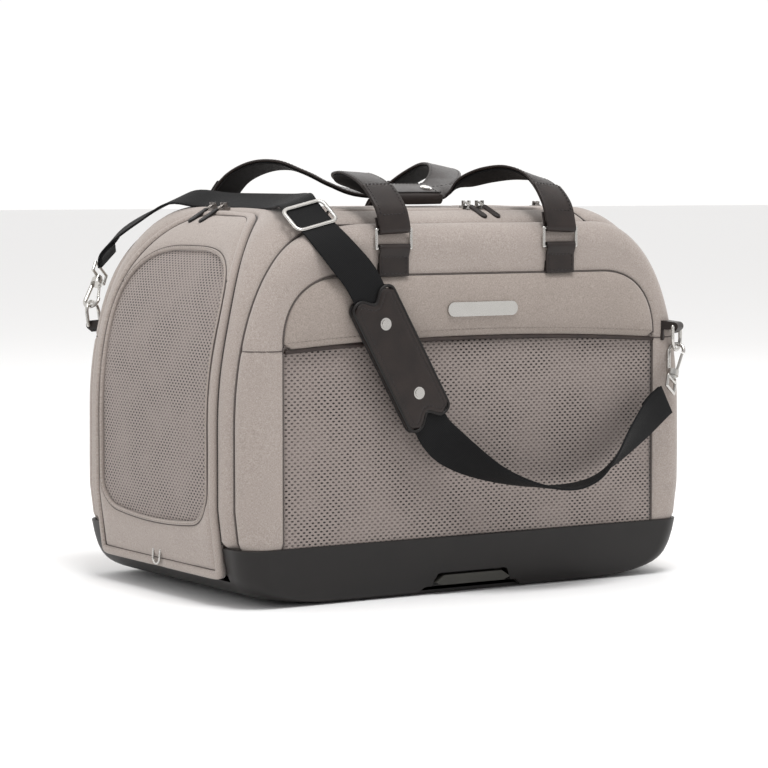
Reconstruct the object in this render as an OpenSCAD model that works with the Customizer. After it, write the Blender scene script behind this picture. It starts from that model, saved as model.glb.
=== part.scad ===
// Soft-sided pet carrier bag: an arched padded shell on a moulded tray base,
// with two roll-down end doors, a top flap, twin grab handles and a shoulder strap.
// X runs along the bag, the front face looks towards -Y, Z is up.
// The origin is the centre of the tray's underside.

/* [Body] */
// Length of the arched side panels, seam to seam
body_l = 520; // [500:5:540]
// Depth from the front face to the back face
body_w = 334; // [326:2:342]
// Height of the panels' top seam
seam_top = 362; // [356:1:366]
// Height of the tray's rim, where the fabric starts
rim_z = 57; // [54:1:60]
// Thickness of the padded fabric shell
shell_t = 6; // [5:0.5:7]

/* [Shoulders] */
// Height at which the end walls start to curve over
spring_z = 165; // [155:5:175]
// Length of each shoulder curve along X
shoulder_l = 108; // [100:2:114]
// How far the end walls bulge past the seam
end_bulge = 9; // [6:1:10]
// How far the top bulges past the seam
top_bulge = 13; // [10:1:14]
// Depth of the rounded edge between the faces and the gusset
edge_round = 21; // [19:1:23]

/* [Openings] */
// Half width of an end door
door_half_w = 124; // [118:1:126]
// Height of an end door's lower edge
door_z = 25; // [24:1:28]
// Half length of the top flap
flap_half_l = 141; // [136:1:143]
// Half depth of the top flap
flap_half_w = 111; // [108:1:112]
// Half width of the front and back mesh windows
mesh_half_w = 218; // [210:1:220]
// Height where the padded header bands start
header_z = 246; // [240:1:250]
// Height where the padded header bands end
header_top = 313; // [308:1:316]

/* [Straps] */
// Width of the shoulder strap's webbing
webbing_w = 38; // [36:0.5:39]
// Thickness of the shoulder strap's webbing
webbing_t = 2.4; // [2:0.1:2.8]
// Width of the handle straps
handle_w = 34; // [30:1:35]
// Thickness of the handle straps, leather and webbing together
handle_t = 4.6; // [4:0.1:5]
// Distance from the bag's middle to each handle leg
handle_x = 98; // [94:1:102]

/* [Hidden] */

$fn = 32;
eps = 0.01;
gap = 0.8;
hw = body_w / 2;
arc_steps = 8;
arc_power = 2.15;
fabric = [0.66, 0.61, 0.57];
mesh_c = [0.60, 0.55, 0.52];
leather = [0.20, 0.16, 0.15];
black = [0.08, 0.08, 0.09];
steel = [0.75, 0.74, 0.72];
gunmetal = [0.35, 0.33, 0.31];
tray_c = [0.17, 0.155, 0.15];

// ---- outlines ----

// Quarter of a superellipse, from the +X end to the +Y end
function quarter(a, b, p) =
    [for (i = [0:arc_steps]) let (t = 90 * i / arc_steps)
        [a * pow(cos(t), 2 / p), b * pow(sin(t), 2 / p)]];

function mirrored(pts) = [for (i = [len(pts) - 1:-1:0]) [-pts[i][0], pts[i][1]]];

// The bag's arch in X and Z, grown outwards from the panels' seam
function arch(gx, gz, base_z) =
    let (
        flat_l = body_l / 2 - shoulder_l,
        arc = [for (q = quarter(shoulder_l + gx, seam_top + gz - spring_z, arc_power))
            [flat_l + q[0], spring_z + q[1]]],
        tuck = (93 - base_z) * 0.12,
        end_x = body_l / 2 + gx,
        side = concat([[end_x - tuck, base_z], [end_x, 93]], arc)
    )
    concat(side, mirrored(side));

// Upright outline with straight sides and an elliptical top
function arched(half_w, low, spring, top, p) =
    let (side = concat([[half_w, low]],
        [for (q = quarter(half_w, top - spring, p)) [q[0], spring + q[1]]]))
    concat(side, [for (i = [len(side) - 2:-1:0]) [-side[i][0], side[i][1]]]);

module along_y(y0, y1) {
    translate([0, y1, 0])
        rotate([90, 0, 0])
            linear_extrude(y1 - y0) children();
}

module along_x(x0, x1) {
    translate([x0, 0, 0])
        rotate([90, 0, 90])
            linear_extrude(x1 - x0) children();
}

module rounded_plate(half_x, half_y, r) {
    square([2 * (half_x - r), 2 * half_y], center = true);
    square([2 * half_x, 2 * (half_y - r)], center = true);
    for (x = [-1, 1], y = [-1, 1]) {
        translate([x * (half_x - r), y * (half_y - r)]) circle(r);
    }
}

// ---- the arched shell ----

// Stations of the shell across Y: [half depth, growth along X, growth along Z]
function stations(t) = [
    [hw - t, -edge_round - t / 2, -edge_round - t / 2],
    [hw - edge_round * 0.3 - t * 0.8, -edge_round * 0.34 - t * 0.8, -edge_round * 0.34 - t * 0.8],
    [hw - edge_round - t * 0.3, -t, -t],
    [hw - edge_round * 2.6, end_bulge - t, top_bulge - t]];

module form(t, base_z = rim_z) {
    hull() {
        for (s = stations(t), side = [-1, 1]) {
            along_y(side * s[0] - eps / 2, side * s[0] + eps / 2)
                polygon(arch(s[1], s[2], base_z));
        }
    }
}

module shell(outer = 0, inner = shell_t, base_z = rim_z) {
    difference() {
        form(outer, base_z);
        form(inner, base_z - 5);
    }
}

door_top_x = 176;
door_spring = 240;
door_top = 378;
door_power = 2.6;

// Solid block through one end wall with the door's outline
module door_block(grow) {
    low = door_z - grow;
    along_x(-300, -door_top_x + grow)
        polygon(arched(door_half_w + grow, low, door_spring, door_top + grow, door_power));
}

module door_window(grow = 0) {
    border = 14;
    along_x(-300, -door_top_x - 30)
        polygon(arched(door_half_w - border + grow, 72 - grow, 245, 338 + grow, 3.2));
}

module flap_block(grow) {
    translate([0, 0, 300])
        linear_extrude(100) rounded_plate(flap_half_l + grow, flap_half_w + grow, 30);
}

module face_panel() {
    color(fabric) difference() {
        intersection() {
            shell();
            along_y(-200, -hw + edge_round) square([600, 900], center = true);
        }
        along_y(-200, -100)
            polygon([[-mesh_half_w, 0], [mesh_half_w, 0], [mesh_half_w, header_z + 4],
                [-mesh_half_w, header_z + 4]]);
    }
}

module face_mesh() {
    inset = 1.2;
    mesh_t = 2.4;
    color(mesh_c) along_y(-hw + inset, -hw + inset + mesh_t)
        translate([-mesh_half_w, rim_z])
            square([2 * mesh_half_w, header_z + 4 - rim_z]);
}

module face_header() {
    pad_t = 7;
    corner_l = 66;
    arc = [for (q = quarter(corner_l, header_top - header_z, 2.3))
        [mesh_half_w - corner_l + q[0], header_z + q[1]]];
    color(fabric) along_y(-hw - pad_t, -hw - 2 * eps) polygon(concat(arc, mirrored(arc)));
}

module end_gusset() {
    seam_y = hw - edge_round;
    split_x = 150;
    color(fabric) difference() {
        intersection() {
            shell();
            translate([-300, -seam_y, 0]) cube([300 - split_x, 2 * seam_y, 500]);
        }
        door_block(gap);
    }
}

module gusset_top() {
    seam_y = hw - edge_round;
    split_x = 150;
    color(fabric) difference() {
        intersection() {
            shell();
            translate([-split_x, -seam_y, 200]) cube([2 * split_x, 2 * seam_y, 300]);
        }
        flap_block(gap);
    }
}

track_t = 1.2;
track_w = 8;

module end_zip_track() {
    color(gunmetal) difference() {
        intersection() {
            shell(-track_t, 0);
            door_block(gap + track_w);
        }
        door_block(gap);
    }
}

module top_zip_track() {
    color(gunmetal) difference() {
        intersection() {
            shell(-track_t, 0);
            flap_block(gap + track_w);
        }
        flap_block(gap);
    }
}

module end_door() {
    color(fabric) difference() {
        intersection() {
            shell(base_z = door_z);
            door_block(0);
        }
        door_window();
    }
}

module end_door_mesh() {
    color(mesh_c) intersection() {
        shell(1.4, 3.8, door_z);
        door_window();
    }
}

module top_flap() {
    color(fabric) intersection() {
        shell();
        flap_block(0);
    }
}

// Small wire loop at the door's lower edge, used to hook the zip pulls down
module end_door_loop() {
    loop_r = 7;
    wire_r = 1.2;
    color(gunmetal) translate([-body_l / 2 - 5, 0, door_z + 10]) {
        rotate([-90, 0, 90])
            rotate_extrude(angle = 180) translate([loop_r, 0]) circle(wire_r, $fn = 16);
        for (y = [-loop_r, loop_r]) {
            translate([0, y, 0]) rotate([0, 6, 0]) cylinder(r = wire_r, h = 8, $fn = 16);
        }
    }
}

// ---- tray ----

tray_l = 2 * 260;
tray_w = body_w + 3;
tray_corner = 26;
wall_t = 3.5;
bar_half_l = 44;
slot_half_l = 47;

// Outer or inner form of the tray, inset by the wall
module tray_form(i) {
    half_l = tray_l / 2 - i;
    half_w = tray_w / 2 - i;
    low = i;
    high = i > 0 ? rim_z + 5 : rim_z;
    end_side = [[half_l - 84, low], [half_l - 46, low + 3], [half_l - 26, low + 8],
        [half_l - 11, low + 18], [half_l - 3, low + 33], [half_l, rim_z], [half_l, high]];
    face_side = [[half_w - 16, low], [half_w - 8, low + 7], [half_w, rim_z], [half_w, high]];
    intersection() {
        along_y(-half_w, half_w) polygon(concat(end_side, mirrored(end_side)));
        along_x(-half_l, half_l) polygon(concat(face_side, mirrored(face_side)));
        linear_extrude(100) rounded_plate(half_l, half_w, tray_corner - i);
    }
}

// Shallow notch under the front and back walls, with the dock slot above it
module dock_notch(grow) {
    depth = 15 - grow;
    along_y(-hw - 10, -hw + depth)
        polygon([[-66 - grow, -1], [-52 - grow, 8 + grow], [52 + grow, 8 + grow], [66 + grow, -1]]);
    along_y(-hw - 10, -hw + depth)
        polygon([[-slot_half_l - grow, 5], [-slot_half_l + 6, 21 + grow],
            [slot_half_l - 6, 21 + grow], [slot_half_l + grow, 5]]);
}

module base_tray() {
    sill_z = door_z - 1.5;
    color(tray_c) difference() {
        union() {
            difference() {
                tray_form(0);
                tray_form(wall_t);
            }
            intersection() {
                tray_form(0);
                for (m = [0, 1]) {
                    mirror([0, m, 0]) dock_notch(wall_t);
                }
            }
        }
        for (m = [0, 1]) {
            mirror([0, m, 0]) dock_notch(0);
            mirror([m, 0, 0])
                translate([-300, -door_half_w - 2, sill_z])
                    cube([80, 2 * (door_half_w + 2), 60]);
        }
    }
}

// Ribs between the tray's floor and the floor board
module tray_ribs() {
    rib_half_l = 145;
    rib_top = 11.9;
    color(tray_c) for (x = [-120:60:120]) {
        translate([x - 1.5, -rib_half_l, wall_t + eps])
            cube([3, 2 * rib_half_l, rib_top - wall_t]);
    }
}

// Lens-shaped latch bars in the dock slots
module dock_bars() {
    bar_low = 9;
    bar_high = 18.5;
    bar_y = hw - 12.5;
    color(gunmetal) for (m = [0, 1]) {
        mirror([0, m, 0])
            along_y(-bar_y - 10, -bar_y + 0.5)
                polygon([[-bar_half_l, bar_low + 3], [-bar_half_l + 8, bar_low],
                    [bar_half_l - 8, bar_low], [bar_half_l, bar_low + 3],
                    [bar_half_l - 10, bar_high], [-bar_half_l + 10, bar_high]]);
    }
}

module floor_board() {
    color(black) translate([0, 0, 12])
        linear_extrude(3) rounded_plate(214, 146, 20);
}

module floor_cushion() {
    cushion_t = 26;
    side_in = 5;
    color(fabric) translate([0, 0, 15.2]) hull() {
        linear_extrude(eps) rounded_plate(212, 142, 24);
        translate([0, 0, cushion_t * 0.6])
            linear_extrude(eps) rounded_plate(222, 148, 26);
        translate([0, 0, cushion_t])
            linear_extrude(eps) rounded_plate(222 - 2 * side_in, 148 - 2 * side_in, 26);
    }
}

// Flat spring hoops that hold the two arches open
module arch_hoops() {
    hoop_t = 2.5;
    hoop_in = shell_t + 0.8;
    color(black) for (m = [0, 1]) {
        mirror([0, m, 0])
            along_y(-hw + edge_round + 7, -hw + edge_round + 19)
                difference() {
                    polygon(arch(-hoop_in, -hoop_in, rim_z));
                    polygon(arch(-hoop_in - hoop_t, -hoop_in - hoop_t, rim_z - 5));
                }
    }
}

// ---- zip sliders and pulls ----

pin_z = 6.6;

// A slider lies on the shell with its run along local X and its top along +Z
module slider_body() {
    color(gunmetal) difference() {
        union() {
            translate([-6, -3.5, 0]) cube([12, 7, 3.4]);
            for (x = [-3.4, 3.4]) {
                translate([x - 1, -1.6, 3]) cube([2, 3.2, 5.4]);
            }
        }
        translate([-8, 0, pin_z]) rotate([0, 90, 0]) cylinder(r = 0.9, h = 16);
    }
}

// Pull: a pin in the slider's ears and a cord tab along local -Y, hanging by the drop angle
module pull_tab(length, drop) {
    pin_r = 0.84;
    color(black) translate([0, 0, pin_z]) rotate([drop, 0, 0]) {
        translate([-4.8, 0, 0]) rotate([0, 90, 0]) cylinder(r = pin_r, h = 9.6);
        translate([-1.8, -length, -1.3]) cube([3.6, length, 2.6]);
    }
}

// Frames of the sliders on the door's upper edge and on the flap's front edge
door_slider_y = [24, 46];
door_slider_x = -173;
door_slider_z = 373.5;
door_slope = 8.4;
top_slider_x = [30, 46];
top_slider_y = -106;
top_slider_z = 375.3;
door_pull_l = 34;
door_pull_drop = 24;
top_pull_l = 38;
top_pull_drop = 23;

module at_door_slider(i) {
    translate([door_slider_x, door_slider_y[i], door_slider_z])
        rotate([0, -door_slope, 0])
            rotate([0, 0, -90]) children();
}

module at_top_slider(i) {
    translate([top_slider_x[i], top_slider_y, top_slider_z]) children();
}

// ---- handles ----

ring_y = hw + 4.6;
ring_z = 339;
ring_wire = 1.75;
ring_half_w = handle_w / 2 + 2.6;
ring_h = 18;

module front_handle_tabs() {
    tab_t = 3.6;
    loop_r = 4.4;
    color(leather) for (x = [-handle_x, handle_x]) {
        difference() {
            union() {
                translate([x - handle_w / 2, -hw - 1 - tab_t, header_top + 0.5])
                    cube([handle_w, tab_t + 1, ring_z - header_top - 0.5]);
                translate([x - handle_w / 2, -ring_y, ring_z])
                    rotate([0, 90, 0]) cylinder(r = loop_r, h = handle_w);
            }
            translate([x - handle_w, -ring_y, ring_z])
                rotate([0, 90, 0]) cylinder(r = ring_wire + 0.06, h = 2 * handle_w);
        }
    }
}

module wire_ring() {
    for (z = [0, ring_h]) {
        translate([-ring_half_w, 0, z]) rotate([0, 90, 0]) cylinder(r = ring_wire, h = 2 * ring_half_w);
    }
    for (x = [-ring_half_w, ring_half_w]) {
        translate([x, 0, 0]) cylinder(r = ring_wire, h = ring_h);
        for (z = [0, ring_h]) {
            translate([x, 0, z]) sphere(ring_wire);
        }
    }
}

module front_handle_rings() {
    color(steel) for (x = [-handle_x, handle_x]) {
        translate([x, -ring_y, ring_z]) wire_ring();
    }
}

function unit(v) = v / norm(v);

// Catmull-Rom curve through hand-placed stations, n steps a span
function blend4(a, b, c, d, t) =
    0.5 * (2 * b + (c - a) * t + (2 * a - 5 * b + 4 * c - d) * t * t
        + (3 * b - a - 3 * c + d) * t * t * t);
function smooth(p, n) = concat(
    [for (i = [0:len(p) - 2], k = [0:n - 1])
        blend4(p[max(i - 1, 0)], p[i], p[i + 1], p[min(i + 2, len(p) - 1)], k / n)],
    [p[len(p) - 1]]);

// Flat strap swept through points, with a width direction at each point
module ribbon(pts, dirs, w, t) {
    n = len(pts);
    rings = [for (i = [0:n - 1])
        let (
            run = unit(pts[min(i + 1, n - 1)] - pts[max(i - 1, 0)]),
            across = unit(dirs[i] - run * (dirs[i] * run)),
            up = cross(across, run)
        )
        for (c = [[-1, -1], [1, -1], [1, 1], [-1, 1]])
            pts[i] + across * c[0] * w / 2 + up * c[1] * t / 2];
    sides = [for (i = [0:n - 2], k = [0:3])
        let (a = 4 * i + k, b = 4 * i + (k + 1) % 4)
        each [[a, b, b + 4], [a, b + 4, a + 4]]];
    polyhedron(points = rings,
        faces = concat(sides, [[3, 2, 1, 0]], [[4 * n - 4, 4 * n - 3, 4 * n - 2, 4 * n - 1]]));
}

strap_z0 = ring_z + ring_h;

// Stations of the front handle from its left ring to its right ring: [point, width direction]
front_run = [
    [[-98, -171, strap_z0 + 3], [-1, 0, 0]],
    [[-99, -164, 378], [-1, 0, 0]],
    [[-100, -140, 399], [-1, 0, 0]],
    [[-99, -108, 409], [-1, 0, 0.05]],
    [[-92, -80, 408], [-0.9, 0.4, 0.1]],
    [[-78, -60, 401], [-0.7, 0.7, 0.2]],
    [[-58, -47, 394], [-0.25, 0.95, 0.3]],
    [[-36, -41, 390.5], [0, 0.95, 0.32]],
    [[0, -40, 390], [0, 0.95, 0.32]],
    [[36, -40, 390.5], [0, 0.95, 0.32]],
    [[50, -46, 394], [0.2, 0.95, 0.05]],
    [[62, -60, 402], [0.6, 0.7, -0.3]],
    [[76, -80, 409], [0.75, 0.55, -0.4]],
    [[90, -104, 411], [0.85, 0.4, -0.35]],
    [[98, -134, 404], [0.95, 0.2, -0.15]],
    [[99, -161, 382], [1, 0, 0]],
    [[98, -171, strap_z0 + 3], [1, 0, 0]]];

// Stations of the back handle from its left ring to its right ring
back_run = [
    [[-98, 171, strap_z0 + 3], [1, 0, 0]],
    [[-99, 163, 380], [1, 0, 0]],
    [[-98, 132, 404], [0.95, 0.1, -0.15]],
    [[-90, 98, 417], [0.9, 0.3, -0.25]],
    [[-80, 66, 419], [0.8, 0.55, -0.2]],
    [[-69, 40, 411], [0.5, 0.8, 0]],
    [[-55, 20, 400], [0.2, 0.95, 0.15]],
    [[-36, 10, 392], [0, 1, 0.2]],
    [[0, 8, 388], [0, 1, 0.1]],
    [[32, 8, 389], [0, 1, 0.1]],
    [[60, 12, 393], [-0.2, 1, 0.1]],
    [[85, 24, 401], [-0.55, 0.85, 0.1]],
    [[106, 46, 411], [-0.85, 0.5, 0.15]],
    [[118, 74, 417], [-0.95, 0.15, 0.2]],
    [[121, 104, 415], [-1, -0.1, 0.2]],
    [[114, 136, 402], [-1, -0.15, 0.1]],
    [[103, 162, 380], [-1, -0.05, 0]],
    [[98, 171, strap_z0 + 3], [-1, 0, 0]]];

module handle_strap(run, side) {
    end_r = 4.2;
    run_steps = 3;
    color(leather) difference() {
        union() {
            ribbon(smooth([for (s = run) s[0]], run_steps), smooth([for (s = run) s[1]], run_steps),
                handle_w, handle_t);
            for (x = [-handle_x, handle_x]) {
                translate([x - handle_w / 2, side * ring_y, strap_z0])
                    rotate([0, 90, 0]) cylinder(r = end_r, h = handle_w);
            }
        }
        for (x = [-handle_x, handle_x]) {
            translate([x - handle_w, side * ring_y, strap_z0])
                rotate([0, 90, 0]) cylinder(r = ring_wire, h = 2 * handle_w);
        }
    }
}

module front_handle() {
    handle_strap(front_run, -1);
}

module back_handle() {
    handle_strap(back_run, 1);
}

wrap_half_l = 34;
wrap_tilt = 18.5;

module at_grip() {
    translate([0, -40, 390]) rotate([wrap_tilt, 0, 0]) children();
}

// Leather sleeve around the front handle's grip, closed by a snap
module handle_wrap() {
    wrap_t = 2;
    slot_w = handle_w + 0.8;
    slot_t = handle_t + 3;
    color(leather) at_grip() difference() {
        cube([2 * wrap_half_l, slot_w + 2 * wrap_t, slot_t + 2 * wrap_t], center = true);
        cube([2 * wrap_half_l + 2, slot_w, slot_t], center = true);
    }
}

module handle_snap() {
    color(steel) at_grip()
        translate([wrap_half_l - 10, 0, handle_t / 2 + 3.5]) {
            cylinder(r = 6, h = 1.2);
            cylinder(r = 4.4, h = 1.9);
        }
}

// ---- strap hardware at the two corners ----

ring_at = [243, -175, 255];
corner_turn = -147;
// How the straps hold each corner: the ring's swing out from hanging, and the hook's lean
ring_swing = [0, 172];
hook_lean = [-25, -40];
d_half_w = 12;
d_leg = 12;
d_wire = 1.9;

module at_corner(k) {
    rotate([0, 0, 180 * k])
        translate(ring_at)
            rotate([0, 0, corner_turn]) children();
}

// The ring and all that hangs on it
module at_ring(k) {
    at_corner(k) rotate([ring_swing[k], 0, 0]) children();
}

module at_hook(k) {
    bottom = d_leg + d_half_w;
    at_ring(k) translate([0, 0, -bottom]) rotate([0, hook_lean[k], 0])
        translate([0, 0, bottom]) children();
}

module ring_tab() {
    loop_r = 4.6;
    difference() {
        hull() {
            translate([-9, 0, 0]) rotate([0, 90, 0]) cylinder(r = loop_r, h = 18);
            translate([-9, -14, -14]) cube([18, 2, 20]);
        }
        translate([-20, 0, 0]) rotate([0, 90, 0]) cylinder(r = d_wire + 0.06, h = 40);
        translate([-20, -11.5, -17]) cube([40, 9.5, 14]);
    }
}

module corner_tab(k) {
    color(leather) difference() {
        at_corner(k) ring_tab();
        form(0);
    }
}

module d_ring() {
    color(steel) {
        translate([-d_half_w, 0, 0]) rotate([0, 90, 0]) cylinder(r = d_wire, h = 2 * d_half_w);
        for (x = [-d_half_w, d_half_w]) {
            translate([x, 0, -d_leg]) cylinder(r = d_wire, h = d_leg);
            translate([x, 0, 0]) sphere(d_wire);
        }
        translate([0, 0, -d_leg])
            rotate([-90, 0, 0])
                rotate_extrude(angle = 180) translate([d_half_w, 0]) circle(d_wire);
    }
}

hook_r = 8;
hook_wire = 1.9;
stem_r = 2.4;
hook_z = -d_leg - d_half_w - (hook_r - 2 * d_wire - 2.8);
hook_base_z = hook_z - 24;

// Snap hook in the plane across the D-ring, open on its outer side
module snap_hook() {
    color(steel) translate([0, 0, hook_z]) {
        rotate([0, -90, 0])
            rotate([0, 0, -90])
                rotate_extrude(angle = 190) translate([hook_r, 0]) circle(hook_wire);
        translate([0, -hook_r, 0]) {
            sphere(stem_r);
            rotate([-172, 0, 0]) cylinder(r = stem_r, h = 23);
        }
        translate([0, 0, -27]) cylinder(r = 6.2, h = 6);
    }
}

gate_y = 4.2;
gate_z = hook_base_z + 3.6;

// Sprung gate that closes the hook from its base to its nose
module hook_gate() {
    color(steel) translate([0, gate_y, gate_z])
        rotate([-9, 0, 0]) translate([0, 0, 0.8]) cylinder(r = 1.5, h = 17);
}

eye_half_w = 12;

module swivel() {
    color(steel) translate([0, 0, hook_base_z - 3]) {
        translate([0, 0, -4]) cylinder(r = 4.4, h = 3.8);
        for (x = [-eye_half_w, eye_half_w]) {
            translate([x, 0, -15]) cylinder(r = 1.7, h = 11);
            translate([x, 0, -4]) sphere(1.7);
            translate([x, 0, -15]) sphere(1.7);
        }
        for (z = [-4, -15]) {
            translate([-eye_half_w, 0, z]) rotate([0, 90, 0]) cylinder(r = 1.7, h = 2 * eye_half_w);
        }
    }
}

// ---- shoulder strap ----

// Stations of the strap from the back hook, over the bag, to the front hook
strap_run = [
    [[-221, 190.5, 321], [0.7, 0.5, 0.4]],
    [[-223, 184, 334], [0.7, 0.5, 0.45]],
    [[-213, 171, 350], [0.75, 0.45, 0.45]],
    [[-194, 148, 368], [0.85, 0.3, 0.4]],
    [[-172, 118, 385], [0.92, 0.12, 0.3]],
    [[-148, 82, 383.5], [0.93, 0.05, 0.35]],
    [[-147, 14, 383], [0.93, 0, 0.37]],
    [[-150, -44, 383], [0.93, 0, 0.37]],
    [[-164, -90, 384], [0.94, 0, 0.34]],
    [[-176, -122, 383], [0.95, 0.03, 0.28]],
    [[-174, -144, 367.5], [0.93, 0.05, 0.25]],
    [[-169, -163, 352], [0.93, 0.05, 0.25]],
    [[-156, -174.5, 332], [0.9, 0.03, 0.38]],
    [[-139, -179.5, 310], [0.88, 0, 0.47]],
    [[-121, -181, 277], [0.88, 0, 0.47]],
    [[-98, -183, 234], [0.88, 0, 0.47]],
    [[-75, -185, 191], [0.88, 0, 0.47]],
    [[-59, -186.5, 161], [0.84, -0.1, 0.5]],
    [[-34, -191, 139], [0.55, -0.6, 0.5]],
    [[2, -196, 119], [0.22, -0.95, 0.3]],
    [[44, -199, 106], [0, -1, 0.1]],
    [[84, -200, 101], [-0.1, -1, 0]],
    [[118, -199, 107], [-0.25, -0.9, 0.1]],
    [[148, -196, 124], [-0.45, -0.75, 0.3]],
    [[176, -192, 147], [-0.6, -0.5, 0.5]],
    [[204, -187, 169], [-0.7, -0.25, 0.5]],
    [[221, -187.5, 182], [-0.75, -0.2, 0.4]]];

module shoulder_strap() {
    strap_steps = 3;
    color(black) ribbon(smooth([for (s = strap_run) s[0]], strap_steps),
        smooth([for (s = strap_run) s[1]], strap_steps), webbing_w, webbing_t);
}

pad_station = 15;
pad_mid = strap_run[pad_station][0];
pad_axis = unit(strap_run[pad_station + 1][0] - strap_run[pad_station - 1][0]);

// Local frame of the pad: X across, Y out of the face, Z up along the strap
module at_pad() {
    up = -pad_axis;
    roll = atan2(up[0], up[2]);
    tip = asin(-up[1]);
    translate(pad_mid) rotate([0, roll, 0]) rotate([tip, 0, 0]) children();
}

pad_half_l = 70;
pad_half_w = 26;
pad_t = 8;

// Sleeve round the webbing, with a notch in each end
module strap_pad() {
    slot_w = webbing_w + 2;
    slot_t = webbing_t + 1.6;
    notch = 12;
    end = [[pad_half_w, pad_half_l - 4], [pad_half_w - 6, pad_half_l],
        [pad_half_w - 14, pad_half_l], [0, pad_half_l - notch],
        [-pad_half_w + 14, pad_half_l], [-pad_half_w + 6, pad_half_l],
        [-pad_half_w, pad_half_l - 4]];
    color(leather) at_pad() difference() {
        along_y(-pad_t / 2, pad_t / 2) polygon(concat(end, [for (e = end) -e]));
        cube([slot_w, slot_t, 4 * pad_half_l], center = true);
    }
}

module pad_rivets() {
    rivet_z = [38, -38];
    color(steel) at_pad() for (z = rivet_z) {
        translate([0, -pad_t / 2, z]) rotate([90, 0, 0]) {
            cylinder(r = 6, h = 1);
            cylinder(r = 4.2, h = 1.6);
        }
    }
}

slider_station = 10;
slider_run = unit(strap_run[slider_station + 1][0] - strap_run[slider_station - 1][0]);

// Frame-shaped slider that sets the strap's length: bars over the webbing, one bar under it
module strap_slider() {
    half_w = webbing_w / 2 + 5;
    half_l = 13;
    bar = 2;
    lift = webbing_t / 2 + 1.6;
    across = strap_run[slider_station][1];
    turn = atan2(across[2], across[0]);
    tip = atan2(slider_run[2], -slider_run[1]);
    color(steel) translate(strap_run[slider_station][0] - 4 * slider_run)
        rotate([0, -turn, 0]) rotate([-tip - 90, 0, 0]) {
            for (y = [-half_l, half_l - 4]) {
                translate([-half_w, lift, y]) cube([2 * half_w, bar, 4]);
            }
            translate([-half_w, -lift - bar, -2]) cube([2 * half_w, bar, 4]);
            for (x = [-half_w, half_w - 3]) {
                translate([x, -lift - bar, -half_l]) cube([3, 2 * (lift + bar), 2 * half_l]);
            }
        }
}

module badge_plate() {
    plate_half_l = 34;
    plate_half_h = 7;
    color(steel) along_y(-hw - 7 - 2.4, -hw - 7) translate([3, 279]) {
        square([2 * (plate_half_l), 2 * plate_half_h], center = true);
        for (x = [-plate_half_l, plate_half_l]) {
            translate([x, 0]) circle(plate_half_h);
        }
    }
}

base_tray();
tray_ribs();
dock_bars();
floor_board();
floor_cushion();
arch_hoops();
face_panel();  // front_panel
mirror([0, 1, 0]) face_panel();  // back_panel
face_mesh();  // front_mesh
mirror([0, 1, 0]) face_mesh();  // back_mesh
face_header();  // front_header
mirror([0, 1, 0]) face_header();  // back_header
end_gusset();  // gusset_left
mirror([1, 0, 0]) end_gusset();  // gusset_right
gusset_top();
end_zip_track();  // left_zip_track
mirror([1, 0, 0]) end_zip_track();  // right_zip_track
top_zip_track();
end_door();  // left_door
mirror([1, 0, 0]) end_door();  // right_door
end_door_mesh();  // left_door_mesh
mirror([1, 0, 0]) end_door_mesh();  // right_door_mesh
end_door_loop();  // left_door_loop
mirror([1, 0, 0]) end_door_loop();  // right_door_loop
top_flap();
at_door_slider(0) slider_body();  // left_slider_a
at_door_slider(1) slider_body();  // left_slider_b
rotate(180) at_door_slider(0) slider_body();  // right_slider_a
rotate(180) at_door_slider(1) slider_body();  // right_slider_b
at_top_slider(0) slider_body();  // top_slider_a
at_top_slider(1) slider_body();  // top_slider_b
at_door_slider(0) pull_tab(door_pull_l, door_pull_drop);  // left_pull_a
at_door_slider(1) pull_tab(door_pull_l, door_pull_drop);  // left_pull_b
rotate(180) at_door_slider(0) pull_tab(door_pull_l, door_pull_drop);  // right_pull_a
rotate(180) at_door_slider(1) pull_tab(door_pull_l, door_pull_drop);  // right_pull_b
at_top_slider(0) pull_tab(top_pull_l, top_pull_drop);  // top_pull_a
at_top_slider(1) pull_tab(top_pull_l, top_pull_drop);  // top_pull_b
front_handle_tabs();
mirror([0, 1, 0]) front_handle_tabs();  // back_handle_tabs
front_handle_rings();
mirror([0, 1, 0]) front_handle_rings();  // back_handle_rings
front_handle();
back_handle();
handle_wrap();
handle_snap();
corner_tab(0);  // front_ring_tab
corner_tab(1);  // back_ring_tab
at_ring(0) d_ring();  // front_d_ring
at_ring(1) d_ring();  // back_d_ring
at_hook(0) snap_hook();  // front_snap_hook
at_hook(1) snap_hook();  // back_snap_hook
at_hook(0) hook_gate();  // front_hook_gate
at_hook(1) hook_gate();  // back_hook_gate
at_hook(0) swivel();  // front_swivel
at_hook(1) swivel();  // back_swivel
shoulder_strap();
strap_slider();
strap_pad();
pad_rivets();
badge_plate();
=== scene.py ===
import math

import bmesh
import bpy
import numpy as np
from mathutils import Matrix, Vector


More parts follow.
